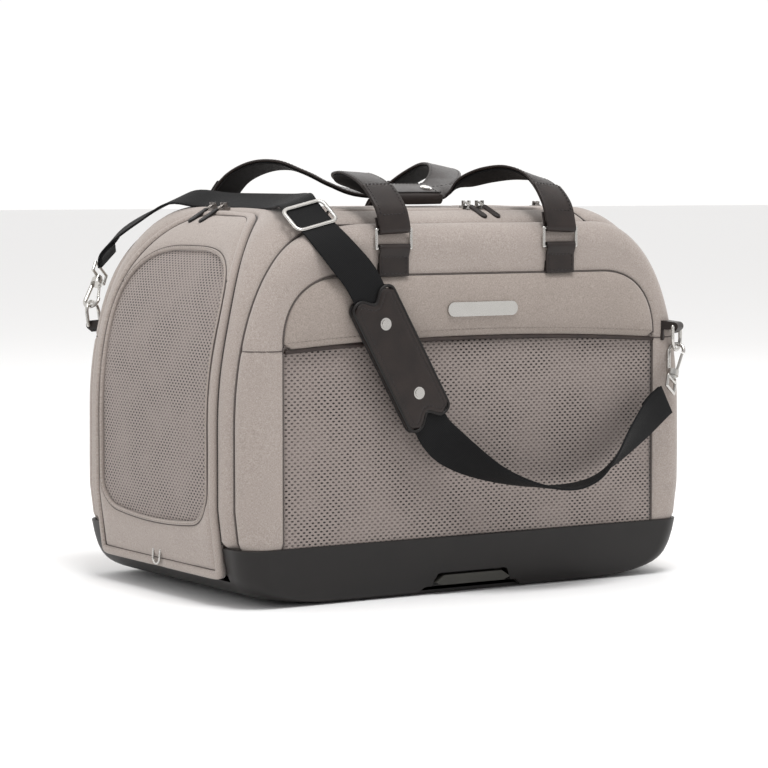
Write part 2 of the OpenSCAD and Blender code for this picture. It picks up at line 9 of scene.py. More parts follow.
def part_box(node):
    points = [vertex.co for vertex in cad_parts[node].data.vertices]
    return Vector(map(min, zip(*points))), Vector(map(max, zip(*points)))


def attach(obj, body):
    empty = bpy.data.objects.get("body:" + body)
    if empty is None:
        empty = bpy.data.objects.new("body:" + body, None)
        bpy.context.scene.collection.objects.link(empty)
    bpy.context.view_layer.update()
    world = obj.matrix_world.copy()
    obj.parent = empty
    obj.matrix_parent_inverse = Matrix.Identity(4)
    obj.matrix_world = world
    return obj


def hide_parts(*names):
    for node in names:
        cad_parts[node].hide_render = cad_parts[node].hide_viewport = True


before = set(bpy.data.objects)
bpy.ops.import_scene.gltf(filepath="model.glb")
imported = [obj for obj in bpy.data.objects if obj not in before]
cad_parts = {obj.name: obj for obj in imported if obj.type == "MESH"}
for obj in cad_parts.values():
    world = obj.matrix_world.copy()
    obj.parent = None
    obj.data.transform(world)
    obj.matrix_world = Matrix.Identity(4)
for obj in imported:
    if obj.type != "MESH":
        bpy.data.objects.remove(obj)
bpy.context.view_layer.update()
MM = 0.001

# Millimetres, as in the CAD source
HALF_L, SPRING, SEAM_TOP, SHOULDER, POWER = 260.0, 165.0, 362.0, 108.0, 2.15
RIM, SEAM_Y, HALF_W, EDGE = 57.0, 146.0, 167.0, 21.0
DOCK_REACH = (HALF_W + 12, HALF_W - 15)
END_BULGE, TOP_BULGE = 9.0, 13.0
FLAT = HALF_L - SHOULDER
CROSS_SEAM_X = 150.0
SHELL_THICK = 5.4
TUCK_Z = RIM - 6
SEAM_DEPTH = -0.9


# ---------------------------------------------------------------- materials

def rgb(r, g, b):
    return tuple(((c / 255 + 0.055) / 1.055) ** 2.4 if c > 10 else c / 255 / 12.92
                 for c in (r, g, b)) + (1.0,)


class Mat:
    """A Principled material with a few shortcuts for wiring procedural detail."""

    def __init__(self, name, **sockets):
        self.m = bpy.data.materials.new(name)
        self.m.use_nodes = True
        self.t = self.m.node_tree
        self.b = self.t.nodes["Principled BSDF"]
        for key, value in sockets.items():
            self.b.inputs[key.replace("_", " ")].default_value = value

    def n(self, kind, **values):
        node = self.t.nodes.new(kind)
        for key, value in values.items():
            if key in node.inputs:
                node.inputs[key].default_value = value
            else:
                setattr(node, key, value)
        return node

    def link(self, a, b):
        self.t.links.new(a, b)

    def coords(self, cloth=True, scale=(1000, 1000, 1000), rot=(0, 0, 0)):
        """The flat cloth coordinates in mm, or the object's own in mm."""
        if cloth:
            source = self.n("ShaderNodeAttribute", attribute_name="cloth").outputs["Vector"]
            scale = (1, 1, 1) if scale == (1000, 1000, 1000) else scale
        else:
            source = self.n("ShaderNodeTexCoord").outputs["Object"]
        mapping = self.n("ShaderNodeMapping")
        mapping.inputs["Scale"].default_value = scale
        mapping.inputs["Rotation"].default_value = rot
        self.link(source, mapping.inputs["Vector"])
        return mapping.outputs["Vector"]

    def noise(self, vector, scale, detail=2.0, rough=0.5):
        node = self.n("ShaderNodeTexNoise", Scale=scale, Detail=detail, Roughness=rough)
        self.link(vector, node.inputs["Vector"])
        return node.outputs["Fac"]

    def math(self, op, a, b=None, c=None):
        node = self.n("ShaderNodeMath", operation=op)
        for i, value in enumerate((a, b, c)):
            if value is None:
                continue
            if isinstance(value, (int, float)):
                node.inputs[i].default_value = value
            else:
                self.link(value, node.inputs[i])
        return node.outputs[0]

    def ramp(self, fac, stops):
        node = self.n("ShaderNodeValToRGB")
        el = node.color_ramp.elements
        while len(el) < len(stops):
            el.new(0.5)
        for e, (pos, col) in zip(el, stops):
            e.position = pos
            e.color = col if isinstance(col, tuple) else (col, col, col, 1)
        self.link(fac, node.inputs["Fac"])
        return node.outputs["Color"]

    def mix(self, fac, a, b, kind="MIX"):
        node = self.n("ShaderNodeMix", data_type="RGBA", blend_type=kind)
        for index, value in ((0, fac), (6, a), (7, b)):
            if isinstance(value, (int, float, tuple)):
                node.inputs[index].default_value = value
            else:
                self.link(value, node.inputs[index])
        return node.outputs[2]

    def wave(self, vector, axis, pitch):
        """A sine from 0 to 1 along one axis of the vector, one cycle a pitch."""
        sep = self.n("ShaderNodeSeparateXYZ")
        self.link(vector, sep.inputs[0])
        turned = self.math("MULTIPLY", sep.outputs[axis], 2 * math.pi / pitch)
        return self.math("MULTIPLY_ADD", self.math("SINE", turned), 0.5, 0.5)

    def bump(self, height, strength, distance=0.0003):
        node = self.n("ShaderNodeBump", Strength=strength, Distance=distance)
        self.link(height, node.inputs["Height"])
        if self.b.inputs["Normal"].is_linked:
            self.link(self.b.inputs["Normal"].links[0].from_socket, node.inputs["Normal"])
        self.link(node.outputs["Normal"], self.b.inputs["Normal"])

    def color(self, socket):
        self.link(socket, self.b.inputs["Base Color"])

    def rough(self, fac, low, high):
        node = self.n("ShaderNodeMapRange")
        node.inputs["To Min"].default_value = low
        node.inputs["To Max"].default_value = high
        self.link(fac, node.inputs["Value"])
        self.link(node.outputs[0], self.b.inputs["Roughness"])


def fabric_material(name, base, dark, light, cloth=True):
    """Heathered plain-weave polyester, with its thread pitch near one millimetre."""
    k = Mat(name, Roughness=0.86, Sheen_Weight=0.25, Sheen_Roughness=0.45)
    v = k.coords(cloth)
    warp = k.noise(k.coords(cloth, (0.5, 2.6, 1) if cloth else (500, 2600, 2600)), 1.0, 2)
    weft = k.noise(k.coords(cloth, (2.6, 0.5, 1) if cloth else (2600, 500, 2600)), 1.0, 2)
    heather = k.math("ADD", k.math("MULTIPLY", warp, 0.5), k.math("MULTIPLY", weft, 0.5))
    mottle = k.noise(v, 0.16, 3)
    broad = k.noise(v, 0.02, 2)
    tone = k.ramp(heather, [(0.36, dark), (0.5, base), (0.64, light)])
    shade = k.ramp(mottle, [(0.3, 0.97), (0.7, 1.0)])
    tone = k.mix(1.0, tone, shade, "MULTIPLY")
    tone = k.mix(1.0, tone, k.ramp(broad, [(0.3, 0.96), (0.7, 1.0)]), "MULTIPLY")
    k.color(tone)
    weave = k.math("MULTIPLY", k.wave(v, 0, 1.15), k.wave(v, 1, 1.15))
    k.bump(weave, 0.35, 0.0002)
    k.bump(heather, 0.5, 0.0003)
    k.rough(mottle, 0.8, 0.92)
    return k.m


def mesh_material(name, pitch_x, pitch_y):
    """Knitted spacer mesh: staggered oval holes in a fine knit, painted on a solid sheet; the holes' dark colour is
    painted shade of the inside, lighter in patches as painted light from the lining behind.
    """
    k = Mat(name, Roughness=0.8, Sheen_Weight=0.15)
    v = k.coords(True)
    sep = k.n("ShaderNodeSeparateXYZ")
    k.link(v, sep.inputs[0])
    row = k.math("DIVIDE", sep.outputs[1], pitch_y)
    row_id = k.math("FLOOR", row)
    odd = k.math("MULTIPLY", k.math("MODULO", k.math("ABSOLUTE", row_id), 2.0), 0.5)
    column = k.math("ADD", k.math("DIVIDE", sep.outputs[0], pitch_x), odd)
    du = k.math("SUBTRACT", k.math("FRACT", column), 0.5)
    dv = k.math("SUBTRACT", k.math("FRACT", row), 0.5)
    du = k.math("DIVIDE", du, 0.27)
    dv = k.math("DIVIDE", dv, 0.34)
    r2 = k.math("ADD", k.math("MULTIPLY", du, du), k.math("MULTIPLY", dv, dv))
    hole = k.ramp(r2, [(0.6, 1.0), (1.0, 0.0)])
    knit = k.noise(v, 1.4, 3)
    yarn = k.ramp(knit, [(0.35, rgb(129, 118, 113)), (0.65, rgb(158, 147, 141))])
    # Patches where the holes turn lighter: painted light from the lining behind them.
    lining_light_mask = k.noise(v, 0.022, 2)
    # The holes' colour: painted shade, mixed towards painted lining light in the patches.
    inside = k.mix(k.ramp(lining_light_mask, [(0.4, 0.0), (0.62, 1.0)]), rgb(40, 33, 31), rgb(104, 94, 90))
    k.color(k.mix(hole, yarn, inside))
    height = k.math("SUBTRACT", 1.0, hole)
    k.bump(height, 0.8, 0.0009)
    k.bump(knit, 0.35, 0.0003)
    k.rough(hole, 0.75, 0.95)
    return k.m


def leather_material(name, base, dark, gloss=0.42):
    k = Mat(name, Specular_IOR_Level=0.32)
    v = k.coords(False)
    cells = k.n("ShaderNodeTexVoronoi", Scale=1.1, feature="DISTANCE_TO_EDGE")
    k.link(v, cells.inputs["Vector"])
    grain = k.ramp(cells.outputs["Distance"], [(0.0, 0.0), (0.22, 1.0)])
    cloudy = k.noise(v, 0.06, 4)
    # Cells' edges darkened: painted shade in the grain's creases; the cloudy tone is the leather's own.
    k.color(k.mix(1.0, k.ramp(cloudy, [(0.3, dark), (0.7, base)]),
                  k.ramp(cells.outputs["Distance"], [(0.0, 0.72), (0.12, 1.0)]), "MULTIPLY"))
    k.bump(grain, 0.22, 0.0002)
    k.bump(k.noise(v, 0.5, 3), 0.12, 0.0004)
    k.rough(cloudy, gloss - 0.06, gloss + 0.1)
    return k.m


def webbing_material(name):
    """Ribbed twill webbing: x of the cloth coordinates runs across, y runs along."""
    k = Mat(name, Roughness=0.75, Specular_IOR_Level=0.22)
    v = k.coords(True)
    rib = k.wave(v, 1, 1.3)
    col = k.wave(v, 0, 1.5)
    weave = k.math("MULTIPLY", rib, col)
    fuzz = k.noise(k.coords(True, (3, 0.6, 1)), 1.0, 3)
    # Darker where the weave is low: painted shade between the ribs; the fuzz tone is the webbing's own.
    tone = k.ramp(weave, [(0.0, rgb(7, 7, 8)), (0.8, rgb(22, 22, 24))])
    k.color(k.mix(1.0, tone, k.ramp(fuzz, [(0.3, 0.8), (0.7, 1.0)]), "MULTIPLY"))
    k.bump(weave, 0.7, 0.0004)
    k.rough(fuzz, 0.62, 0.8)
    return k.m


def plastic_material(name, base, dark, gloss):
    k = Mat(name, Specular_IOR_Level=0.3)
    v = k.coords(False)
    fine = k.noise(v, 2.2, 3)
    broad = k.noise(v, 0.015, 3)
    k.color(k.ramp(broad, [(0.3, dark), (0.7, base)]))
    k.bump(fine, 0.12, 0.00015)
    k.rough(k.noise(v, 0.05, 4), gloss - 0.05, gloss + 0.06)
    return k.m


def metal_material(name, base, low, high):
    k = Mat(name, Metallic=1.0)
    v = k.coords(False)
    worn = k.noise(v, 0.12, 3)
    k.color(k.ramp(worn, [(0.3, tuple(0.95 * c for c in base[:3]) + (1.0,)), (0.7, base)]))
    k.bump(k.noise(k.coords(False, (3000, 400, 3000)), 1.0, 2), 0.04, 0.00003)
    k.rough(worn, low, high)
    return k.m


def thread_material(name, base, dark):
    """Twisted thread or cord, with painted shade in its strands' grooves."""
    k = Mat(name, Roughness=0.75, Sheen_Weight=0.1)
    v = k.coords(False)
    twist = k.noise(v, 1.8, 2)
    # Darker where the twist bump is low: painted shade in the grooves.
    k.color(k.ramp(twist, [(0.35, dark), (0.65, base)]))
    k.bump(twist, 0.4, 0.0003)
    k.rough(twist, 0.6, 0.85)
    return k.m


def coil_material(name):
    """Coil zip: a narrow nylon spiral, one turn every 1.6 mm along its length, with painted shade in the gaps between
    the turns.
    """
    k = Mat(name, Roughness=0.45)
    v = k.coords(True)
    turn = k.wave(v, 0, 1.6)
    # Dark between the turns and light on them: painted shade in the gaps.
    k.color(k.ramp(turn, [(0.2, rgb(30, 27, 26)), (0.8, rgb(96, 88, 83))]))
    k.bump(turn, 1.0, 0.0006)
    k.rough(turn, 0.35, 0.6)
    return k.m


FABRIC = fabric_material("fabric", rgb(163, 152, 145), rgb(144, 133, 126), rgb(180, 170, 163))
HEADER = fabric_material("header_fabric", rgb(154, 143, 135), rgb(136, 125, 118), rgb(171, 160, 152))
CUSHION = fabric_material("cushion_fleece", rgb(196, 188, 178), rgb(172, 162, 152), rgb(218, 211, 202), False)
MESH = mesh_material("mesh", 6.4, 2.9)
DOOR_MESH = mesh_material("door_mesh", 6.0, 2.8)
LEATHER = leather_material("leather", rgb(44, 35, 32), rgb(33, 26, 24))
EDGE_PAINT = leather_material("leather_edge", rgb(26, 22, 21), rgb(19, 16, 15), 0.4)
WEBBING = webbing_material("webbing")
TRAY = plastic_material("tray_plastic", rgb(33, 30, 29), rgb(27, 25, 24), 0.42)
DOCK = plastic_material("dock_plastic", rgb(62, 61, 56), rgb(50, 49, 45), 0.5)
BOARD = plastic_material("board", rgb(40, 38, 38), rgb(30, 29, 29), 0.7)
NICKEL = metal_material("nickel", (0.56, 0.545, 0.52, 1), 0.2, 0.3)
GUNMETAL = metal_material("gunmetal", (0.26, 0.24, 0.225, 1), 0.28, 0.45)
# Dark cord sunk in the seams' creases: a painted shadow line; the cushion's piping is a real cord of the same stuff.
SEAM_SHADOW_AND_PIPING = thread_material("seam_shadow_and_piping_cord", rgb(96, 87, 82), rgb(62, 55, 52))
THREAD = thread_material("stitch_thread", rgb(150, 140, 132), rgb(112, 103, 97))
DARK_THREAD = thread_material("dark_thread", rgb(34, 28, 27), rgb(18, 15, 15))
PIPING = leather_material("piping", rgb(64, 53, 49), rgb(48, 40, 38))
COIL = coil_material("zip_coil")
HOOP = plastic_material("spring_steel", rgb(52, 52, 54), rgb(40, 40, 42), 0.4)


# ---------------------------------------------------------------- mesh helpers

def make(name, verts, faces, mat, body, cloth=None, smooth=True):
    mesh = bpy.data.meshes.new(name)
    verts = np.asarray(verts, float)
    mesh.from_pydata((verts * MM).tolist(), [], [tuple(int(i) for i in f) for f in faces])
    mesh.validate()
    if cloth is not None:
        layer = mesh.attributes.new("cloth", "FLOAT_VECTOR", "POINT")
        layer.data.foreach_set("vector", np.asarray(cloth, np.float32).ravel())
    mesh.polygons.foreach_set("use_smooth", [smooth] * len(mesh.polygons))
    mesh.materials.append(mat)
    mesh.update()
    obj = bpy.data.objects.new(name, mesh)
    bpy.context.scene.collection.objects.link(obj)
    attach(obj, body)
    return obj


def unit(v):
    v = np.asarray(v, float)
    return v / np.maximum(np.linalg.norm(v, axis=-1, keepdims=True), 1e-12)


def catmull(points, steps):
    """Catmull-Rom curve through rows of points, as the CAD source has it."""
    p = np.asarray(points, float)
    out = []
    for i in range(len(p) - 1):
        a, b, c, d = p[max(i - 1, 0)], p[i], p[i + 1], p[min(i + 2, len(p) - 1)]
        for k in range(steps):
            t = k / steps
            out.append(0.5 * (2 * b + (c - a) * t + (2 * a - 5 * b + 4 * c - d) * t * t
                              + (3 * b - a - 3 * c + d) * t ** 3))
    out.append(p[-1])
    return np.array(out)


def lengths(path):
    """Length along a path up to each of its points."""
    return np.concatenate([[0], np.cumsum(np.linalg.norm(np.diff(path, axis=0), axis=1))])


def looped(points):
    """A closed path's points with the first one repeated at the end."""
    return np.vstack([points, points[:1]])


def rounded_rectangle(half_x, half_y, r, count):
    """Counter-clockwise points of a rounded rectangle, count of them at each corner."""
    turns = [(sx, sy, math.radians(start + 90 * k / (count - 1)))
             for sx, sy, start in ((1, 1, 0), (-1, 1, 90), (-1, -1, 180), (1, -1, 270)) for k in range(count)]
    return np.array([(sx * (half_x - r) + r * math.cos(t), sy * (half_y - r) + r * math.sin(t))
                     for sx, sy, t in turns])


def resample(points, step, closed=False):
    p = np.asarray(points, float)
    if closed:
        p = looped(p)
    run = lengths(p)
    count = max(int(round(run[-1] / step)), 2)
    at = np.linspace(0, run[-1], count + 1)
    out = np.stack([np.interp(at, run, p[:, k]) for k in range(p.shape[1])], 1)
    return out[:-1] if closed else out


def lofted(rings, closed_path=False, caps=True):
    """Quads between rings of the same count, each ring a closed loop of points."""
    n, m = rings.shape[:2]
    faces = []
    for i in range(n if closed_path else n - 1):
        a, b = i * m, ((i + 1) % n) * m
        faces += [(a + k, a + (k + 1) % m, b + (k + 1) % m, b + k) for k in range(m)]
    if caps and not closed_path:
        faces += [tuple(range(m - 1, -1, -1)), tuple(range((n - 1) * m, n * m))]
    return faces


def tube(name, path, radius, mat, body, sides=8, closed=False, flat=1.0, normals=None):
    """A round or flattened tube along a path."""
    p = np.asarray(path, float)
    ahead = np.roll(p, -1, 0) - np.roll(p, 1, 0) if closed else np.gradient(p, axis=0)
    run = unit(ahead)
    if normals is None:
        normal = unit(np.cross(run[0], [0.3, 0.2, 0.93]))
        frames = []
        for r in run:
            normal = unit(normal - r * (normal @ r))
            frames.append(normal)
        normals = np.array(frames)
    normals = unit(normals - run * (normals * run).sum(1, keepdims=True))
    across = np.cross(run, normals)
    angle = np.arange(sides) * 2 * math.pi / sides
    ring = (p[:, None] + radius * np.cos(angle)[None, :, None] * across[:, None]
            + radius * flat * np.sin(angle)[None, :, None] * normals[:, None])
    length = lengths(p)
    cloth = np.stack([np.repeat(length, sides), np.tile(angle * radius, len(p)),
                      np.zeros(len(p) * sides)], 1)
    faces = lofted(ring, closed)
    return make(name, ring.reshape(-1, 3), faces, mat, body, cloth)


def stitches(name, path, normals, mat, body, length=3.0, gap=1.5, radius=0.38, lift=0.1, slot=None):
    """A run of separate stitches lying on a surface along a path."""
    p = np.asarray(path, float)
    nrm = np.asarray(normals, float)
    run = lengths(p)
    verts, faces = [], []
    profile = ((-0.5, 0.15), (-0.36, 1.0), (0.36, 1.0), (0.5, 0.15))
    at = gap / 2 + length / 2
    while at + length / 2 < run[-1]:
        def sample(s, table):
            return np.array([np.interp(s, run, table[:, k]) for k in range(3)])
        up = unit(sample(at, nrm))
        ahead = unit(sample(at + 0.4 * length, p) - sample(at - 0.4 * length, p))
        side = np.cross(up, ahead)
        base = len(verts)
        for f, grow in profile:
            c = sample(at + f * length, p) + up * lift
            for k in range(6):
                a = k * math.pi / 3
                verts.append(c + radius * grow * (math.cos(a) * side + math.sin(a) * up))
        for i in range(3):
            for k in range(6):
                a, b = base + 6 * i + k, base + 6 * i + (k + 1) % 6
                faces.append((a, b, b + 6, a + 6))
        faces.append(tuple(base + k for k in range(5, -1, -1)))
        faces.append(tuple(base + 18 + k for k in range(6)))
        at += length + gap
    return make(name, verts, faces, mat, body)


def signed_distance(p, outline):
    """Distance inside a closed polygon (negative outside), and the nearest point on it."""
    a = np.asarray(outline, float)
    b = np.roll(a, -1, 0)
    ab = b - a
    dist, near = np.empty(len(p)), np.empty((len(p), 2))
    for start in range(0, len(p), 4000):
        q = p[start:start + 4000]
        d = q[:, None] - a[None]
        t = np.clip((d * ab).sum(-1) / np.maximum((ab * ab).sum(-1), 1e-12), 0, 1)
        c = a + t[..., None] * ab
        r2 = ((q[:, None] - c) ** 2).sum(-1)
        k = r2.argmin(1)
        rows = np.arange(len(q))
        y = q[:, None, 1]
        cross = (a[:, 1] > y) != (b[:, 1] > y)
        xi = ab[:, 0] * (y - a[:, 1]) / np.where(np.abs(ab[:, 1]) < 1e-12, 1e-12, ab[:, 1]) + a[:, 0]
        inside = (cross & (q[:, None, 0] < xi)).sum(1) % 2 == 1
        dist[start:start + 4000] = np.sqrt(r2[rows, k]) * np.where(inside, 1, -1)
        near[start:start + 4000] = c[rows, k]
    return dist, near


def region_distance(p, outline, holes):
    dist, near = signed_distance(p, outline)
    for hole in holes:
        d, q = signed_distance(p, hole)
        closer = -d < dist
        dist = np.where(closer, -d, dist)
        near = np.where(closer[:, None], q, near)
    return dist, near


def rounded(d, r):
    """Drop of a rounded edge of radius r at distance d inside it."""
    x = np.clip(r - d, 0, r)
    return r - np.sqrt(np.maximum(r * r - x * x, 0))


def patch(name, outline, holes, surface, profile, thick, mat, body, step=4.0,
          rings=(3.0, 2.0, 1.1, 0.4, 0.0), swap=False):
    """A closed piece of soft shell. Outline and holes are polygons in flat coordinates, surface(st, h)
    puts flat points at height h in space, and profile(d, st) is the height at distance d from the edge."""
    outline = np.asarray(outline, float)
    low, high = outline.min(0), outline.max(0)
    count = np.maximum(np.ceil((high - low) / step).astype(int), 2)
    gs, gt = (np.linspace(low[k], high[k], count[k] + 1) for k in (0, 1))
    grid = np.stack(np.meshgrid(gs, gt, indexing="ij"), -1).reshape(-1, 2)
    index = np.arange(len(grid)).reshape(len(gs), len(gt))
    quads = np.stack([index[:-1, :-1], index[1:, :-1], index[1:, 1:], index[:-1, 1:]], -1).reshape(-1, 4)
    inset = rings[0]
    corner, _ = region_distance(grid, outline, holes)
    keep = (corner[quads] > inset - 0.55 * step).all(1)
    middle, _ = region_distance(grid[quads].mean(1), outline, holes)
    quads = quads[keep & (middle > inset)]
    edges = {}
    for q in quads:
        for i in range(4):
            a, b = int(q[i]), int(q[(i + 1) % 4])
            edges[(a, b)] = edges.get((a, b), 0) + 1
    border = [(a, b) for (a, b) in edges if (b, a) not in edges]
    used = np.unique(quads)
    remap = -np.ones(len(grid), int)
    remap[used] = np.arange(len(used))
    quads = remap[quads]
    st = grid[used]
    border = [(int(remap[a]), int(remap[b])) for a, b in border]
    rim = sorted({a for e in border for a in e})
    rim_pos = {v: k for k, v in enumerate(rim)}
    rim = np.array(rim)
    for _ in range(2):
        d, near = region_distance(st[rim], outline, holes)
        out = unit(st[rim] - near) * np.sign(d)[:, None]
        st[rim] = near + out * inset
    fixed = np.zeros(len(st), bool)
    fixed[rim] = True
    for _ in range(6):
        total, number = np.zeros_like(st), np.zeros(len(st))
        for i in range(4):
            a, b = quads[:, i], quads[:, (i + 1) % 4]
            for one, other in ((a, b), (b, a)):
                np.add.at(total, one, st[other])
                np.add.at(number, one, 1)
        mean = total / number[:, None]
        st = np.where(fixed[:, None], st, 0.5 * st + 0.5 * mean)
    d_main, _ = region_distance(st, outline, holes)
    layers = [(st, profile(np.maximum(d_main, inset), st))]
    d, near = region_distance(st[rim], outline, holes)
    out = unit(st[rim] - near)
    for ring in rings[1:]:
        p = near + out * max(ring, 0.0)
        layers.append((p, profile(np.full(len(p), ring), p)))
    edge_st, edge_h = layers[-1]
    layers.append((edge_st, edge_h - 0.5 * (thick + edge_h)))
    layers.append((edge_st, np.full(len(edge_st), -float(thick))))
    layers.append((st, np.full(len(st), -float(thick))))
    verts, cloth, offsets = [], [], []
    for p, h in layers:
        offsets.append(sum(len(v) for v in verts))
        verts.append(surface(p, h))
        cloth.append(np.column_stack([p, h]))
    faces = [tuple(q) for q in quads] + [tuple(offsets[-1] + q[::-1]) for q in quads]

    def at(layer, v):
        if layer in (0, len(layers) - 1):
            return offsets[layer] + v
        return offsets[layer] + rim_pos[v]
    for a, b in border:
        for k in range(len(layers) - 1):
            faces.append((at(k, b), at(k, a), at(k + 1, a), at(k + 1, b)))
    if swap:
        faces = [f[::-1] for f in faces]
    return make(name, np.vstack(verts), faces, mat, body, np.vstack(cloth))


def band(name, path, inward, profile, surface, mat, body, closed=True, flip=False, share=1.0):
    """A solid strip along an outline: profile is a closed loop of (distance inside, height)."""
    path, inward = np.asarray(path, float), np.asarray(inward, float)
    prof = np.asarray(profile, float)
    rings, cloth = [], []
    run = lengths(path)
    for d, h in prof:
        st = path + inward * d
        rings.append(surface(st, h * (share if h > 0 else 1.0) * np.ones(len(st))))
        cloth.append(np.column_stack([run, np.full(len(st), d + h), np.zeros(len(st))]))
    ring = np.stack(rings, 1)
    faces = lofted(ring, closed)
    if flip:
        faces = [f[::-1] for f in faces]
    return make(name, ring.reshape(-1, 3), faces, mat, body, np.stack(cloth, 1).reshape(-1, 3))


def inward_of(path, closed=True):
    """Unit vectors to the inside of a counter-clockwise closed path, smoothed."""
    p = np.asarray(path, float)
    ahead = unit(np.roll(p, -1, 0) - np.roll(p, 1, 0)) if closed else unit(np.gradient(p, axis=0))
    n = np.stack([-ahead[:, 1], ahead[:, 0]], 1)
    area = 0.5 * (p[:, 0] * np.roll(p[:, 1], -1) - np.roll(p[:, 0], -1) * p[:, 1]).sum()
    return n if area > 0 else -n


def inset_path(path, d, closed=True):
    return np.asarray(path, float) + inward_of(path, closed) * d


def drawn(surface, path, h):
    """Points and normals of a flat path lying on a surface at height h."""
    path = np.asarray(path, float)
    p = surface(path, np.full(len(path), float(h)))
    q = surface(path, np.full(len(path), float(h) + 1))
    return p, unit(q - p)


def seam(name, surface, path, h, radius, mat, body, sides, closed=False):
    """A cord lying along a flat path on a surface."""
    return tube(name, drawn(surface, path, h)[0], radius, mat, body, sides, closed)


def stitch_loop(name, surface, path, h, *look, **more):
    """Stitches along a closed flat path on a surface."""
    pts, nrm = drawn(surface, path, h)
    return stitches(name, looped(pts), looped(nrm), *look, **more)


def soft(node):
    """Hides the CAD node that a padded piece stands for."""
    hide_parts(node)


def superquarter(a, b, p, n=14):
    t = np.linspace(0, math.pi / 2, n)
    return np.stack([a * np.cos(t) ** (2 / p), b * np.sin(t) ** (2 / p)], 1)


# ---------------------------------------------------------------- the arched shell

_T = np.linspace(0, math.pi / 2, 600)
_QX = (SHOULDER + END_BULGE) * np.cos(_T) ** (2 / POWER)
_QZ = (SEAM_TOP + TOP_BULGE - SPRING) * np.sin(_T) ** (2 / POWER)
_ARC = np.concatenate([[0], np.cumsum(np.hypot(np.diff(_QX), np.diff(_QZ)))])
ARC = _ARC[-1]
MID = SPRING + ARC + FLAT


def arch_point(u, gx, gz):
    """X and Z at length u along the arch, grown by gx and gz from the panels' seam."""
    side = np.where(u <= MID, -1.0, 1.0)
    v = np.where(u <= MID, u, 2 * MID - u)
    t = np.interp(v - SPRING, _ARC, _T)
    x = FLAT + (SHOULDER + gx) * np.cos(t) ** (2 / POWER)
    z = SPRING + (SEAM_TOP + gz - SPRING) * np.sin(t) ** (2 / POWER)
    wall, top = v < SPRING, v > SPRING + ARC
    z = np.where(wall, v, np.where(top, SEAM_TOP + gz, z))
    x = np.where(wall, HALF_L + gx, np.where(top, MID - v, x))
    return side * (x - np.maximum(93 - z, 0) * 0.12), z


def growth(y):
    a = np.abs(y)
    rise = np.sin(np.clip((SEAM_Y - a) / (SEAM_Y - 104.0), 0, 1) * math.pi / 2)
    over = np.clip(a - SEAM_Y, 0, EDGE)
    drop = EDGE - np.sqrt(np.maximum(EDGE ** 2 - over ** 2, 0))
    return END_BULGE * rise - drop, TOP_BULGE * rise - drop


def shell_at(y, u):
    gx, gz = growth(y)
    x, z = arch_point(u, gx, gz)
    return np.stack([x, y, z], -1)


def shell(st, h):
    """st is (y, u): across the bag, and along the arch from the left base to the right one."""
    y, u = st[:, 0], st[:, 1]
    e = 0.6
    du = shell_at(y, u + e) - shell_at(y, u - e)
    dy = shell_at(np.clip(y + e, -HALF_W, HALF_W), u) - shell_at(np.clip(y - e, -HALF_W, HALF_W), u)
    n = unit(np.cross(du, dy))
    return shell_at(y, u) + n * np.asarray(h)[:, None]


def tucked(surface):
    """The same surface, drawn in behind the tray's rim."""
    return lambda st, h: surface(st, np.asarray(h) - 6.5 * np.clip((62 - st[:, 1]) / 7, 0, 1))


def u_of_z(z):
    """Length along the arch's left half up to height z, on the outermost line."""
    t = np.interp(z - SPRING, _QZ, _ARC)
    return np.where(z < SPRING, z, SPRING + t)


def u_of_x(x):
    """Length along the arch at the top, for x from the left."""
    x = np.asarray(x, float)
    t = np.interp(-np.abs(x) + FLAT, -_QX, _ARC)
    left = np.where(np.abs(x) < FLAT, MID - np.abs(x), SPRING + t)
    return np.where(x <= 0, left, 2 * MID - left)


def ripple(st, size, amount, seed):
    """Slow, even undulation of soft fabric."""
    s, t = st[:, 0] / size, st[:, 1] / size
    a = np.sin(1.9 * s + 0.7 * t + seed) * np.sin(0.8 * s - 1.3 * t + 2.1 * seed)
    b = np.sin(3.3 * s - 2.1 * t + 1.3 * seed) * 0.5
    return amount * (a + b)


DOOR_HALF, DOOR_LOW, DOOR_SPRING, DOOR_TOP, DOOR_POWER, DOOR_X = 124.0, 25.0, 240.0, 378.0, 2.6, 176.0
DOOR_TOP_U = float(u_of_x(-DOOR_X))


def smooth_corners(path, passes=6, step=4.0, softer=None):
    """Rounds a closed path's corners; softer gives each point's share of the rounding."""
    p = resample(path, step, True)
    share = np.ones(len(p)) if softer is None else softer(p)
    for _ in range(passes):
        p = p + share[:, None] * (0.25 * (np.roll(p, 1, 0) + np.roll(p, -1, 0)) - 0.5 * p)
    return p


def door_outline(grow=0.0):
    """The end door's outline as (y, u), counter-clockwise."""
    q = superquarter(DOOR_HALF + grow, DOOR_TOP + grow - DOOR_SPRING, DOOR_POWER, 60)
    z = DOOR_SPRING + q[:, 1]
    u = u_of_z(np.minimum(z, SEAM_TOP + TOP_BULGE - 0.01))
    keep = u < DOOR_TOP_U + grow
    right = np.column_stack([q[keep, 0], u[keep]])
    right = np.vstack([[DOOR_HALF + grow, DOOR_LOW - grow], [DOOR_HALF + grow, 120], right,
                       [right[-1, 0] - 6, DOOR_TOP_U + grow]])
    left = right[::-1] * [-1, 1]
    return np.vstack([right, left])


def door_softness(p):
    """Door corners: 36 mm at the top, 14 mm at the foot."""
    return 0.14 + 0.86 * np.clip((p[:, 1] - 240) / 80, 0, 1)


door_edge = smooth_corners(door_outline(), 80, 3.0, door_softness)
hole_line = door_outline(0.8)
hole_edge = smooth_corners(hole_line - np.where(hole_line[:, 1:] < 30, [[0, 30]], [[0, 0]]), 80, 3.0,
                           door_softness)


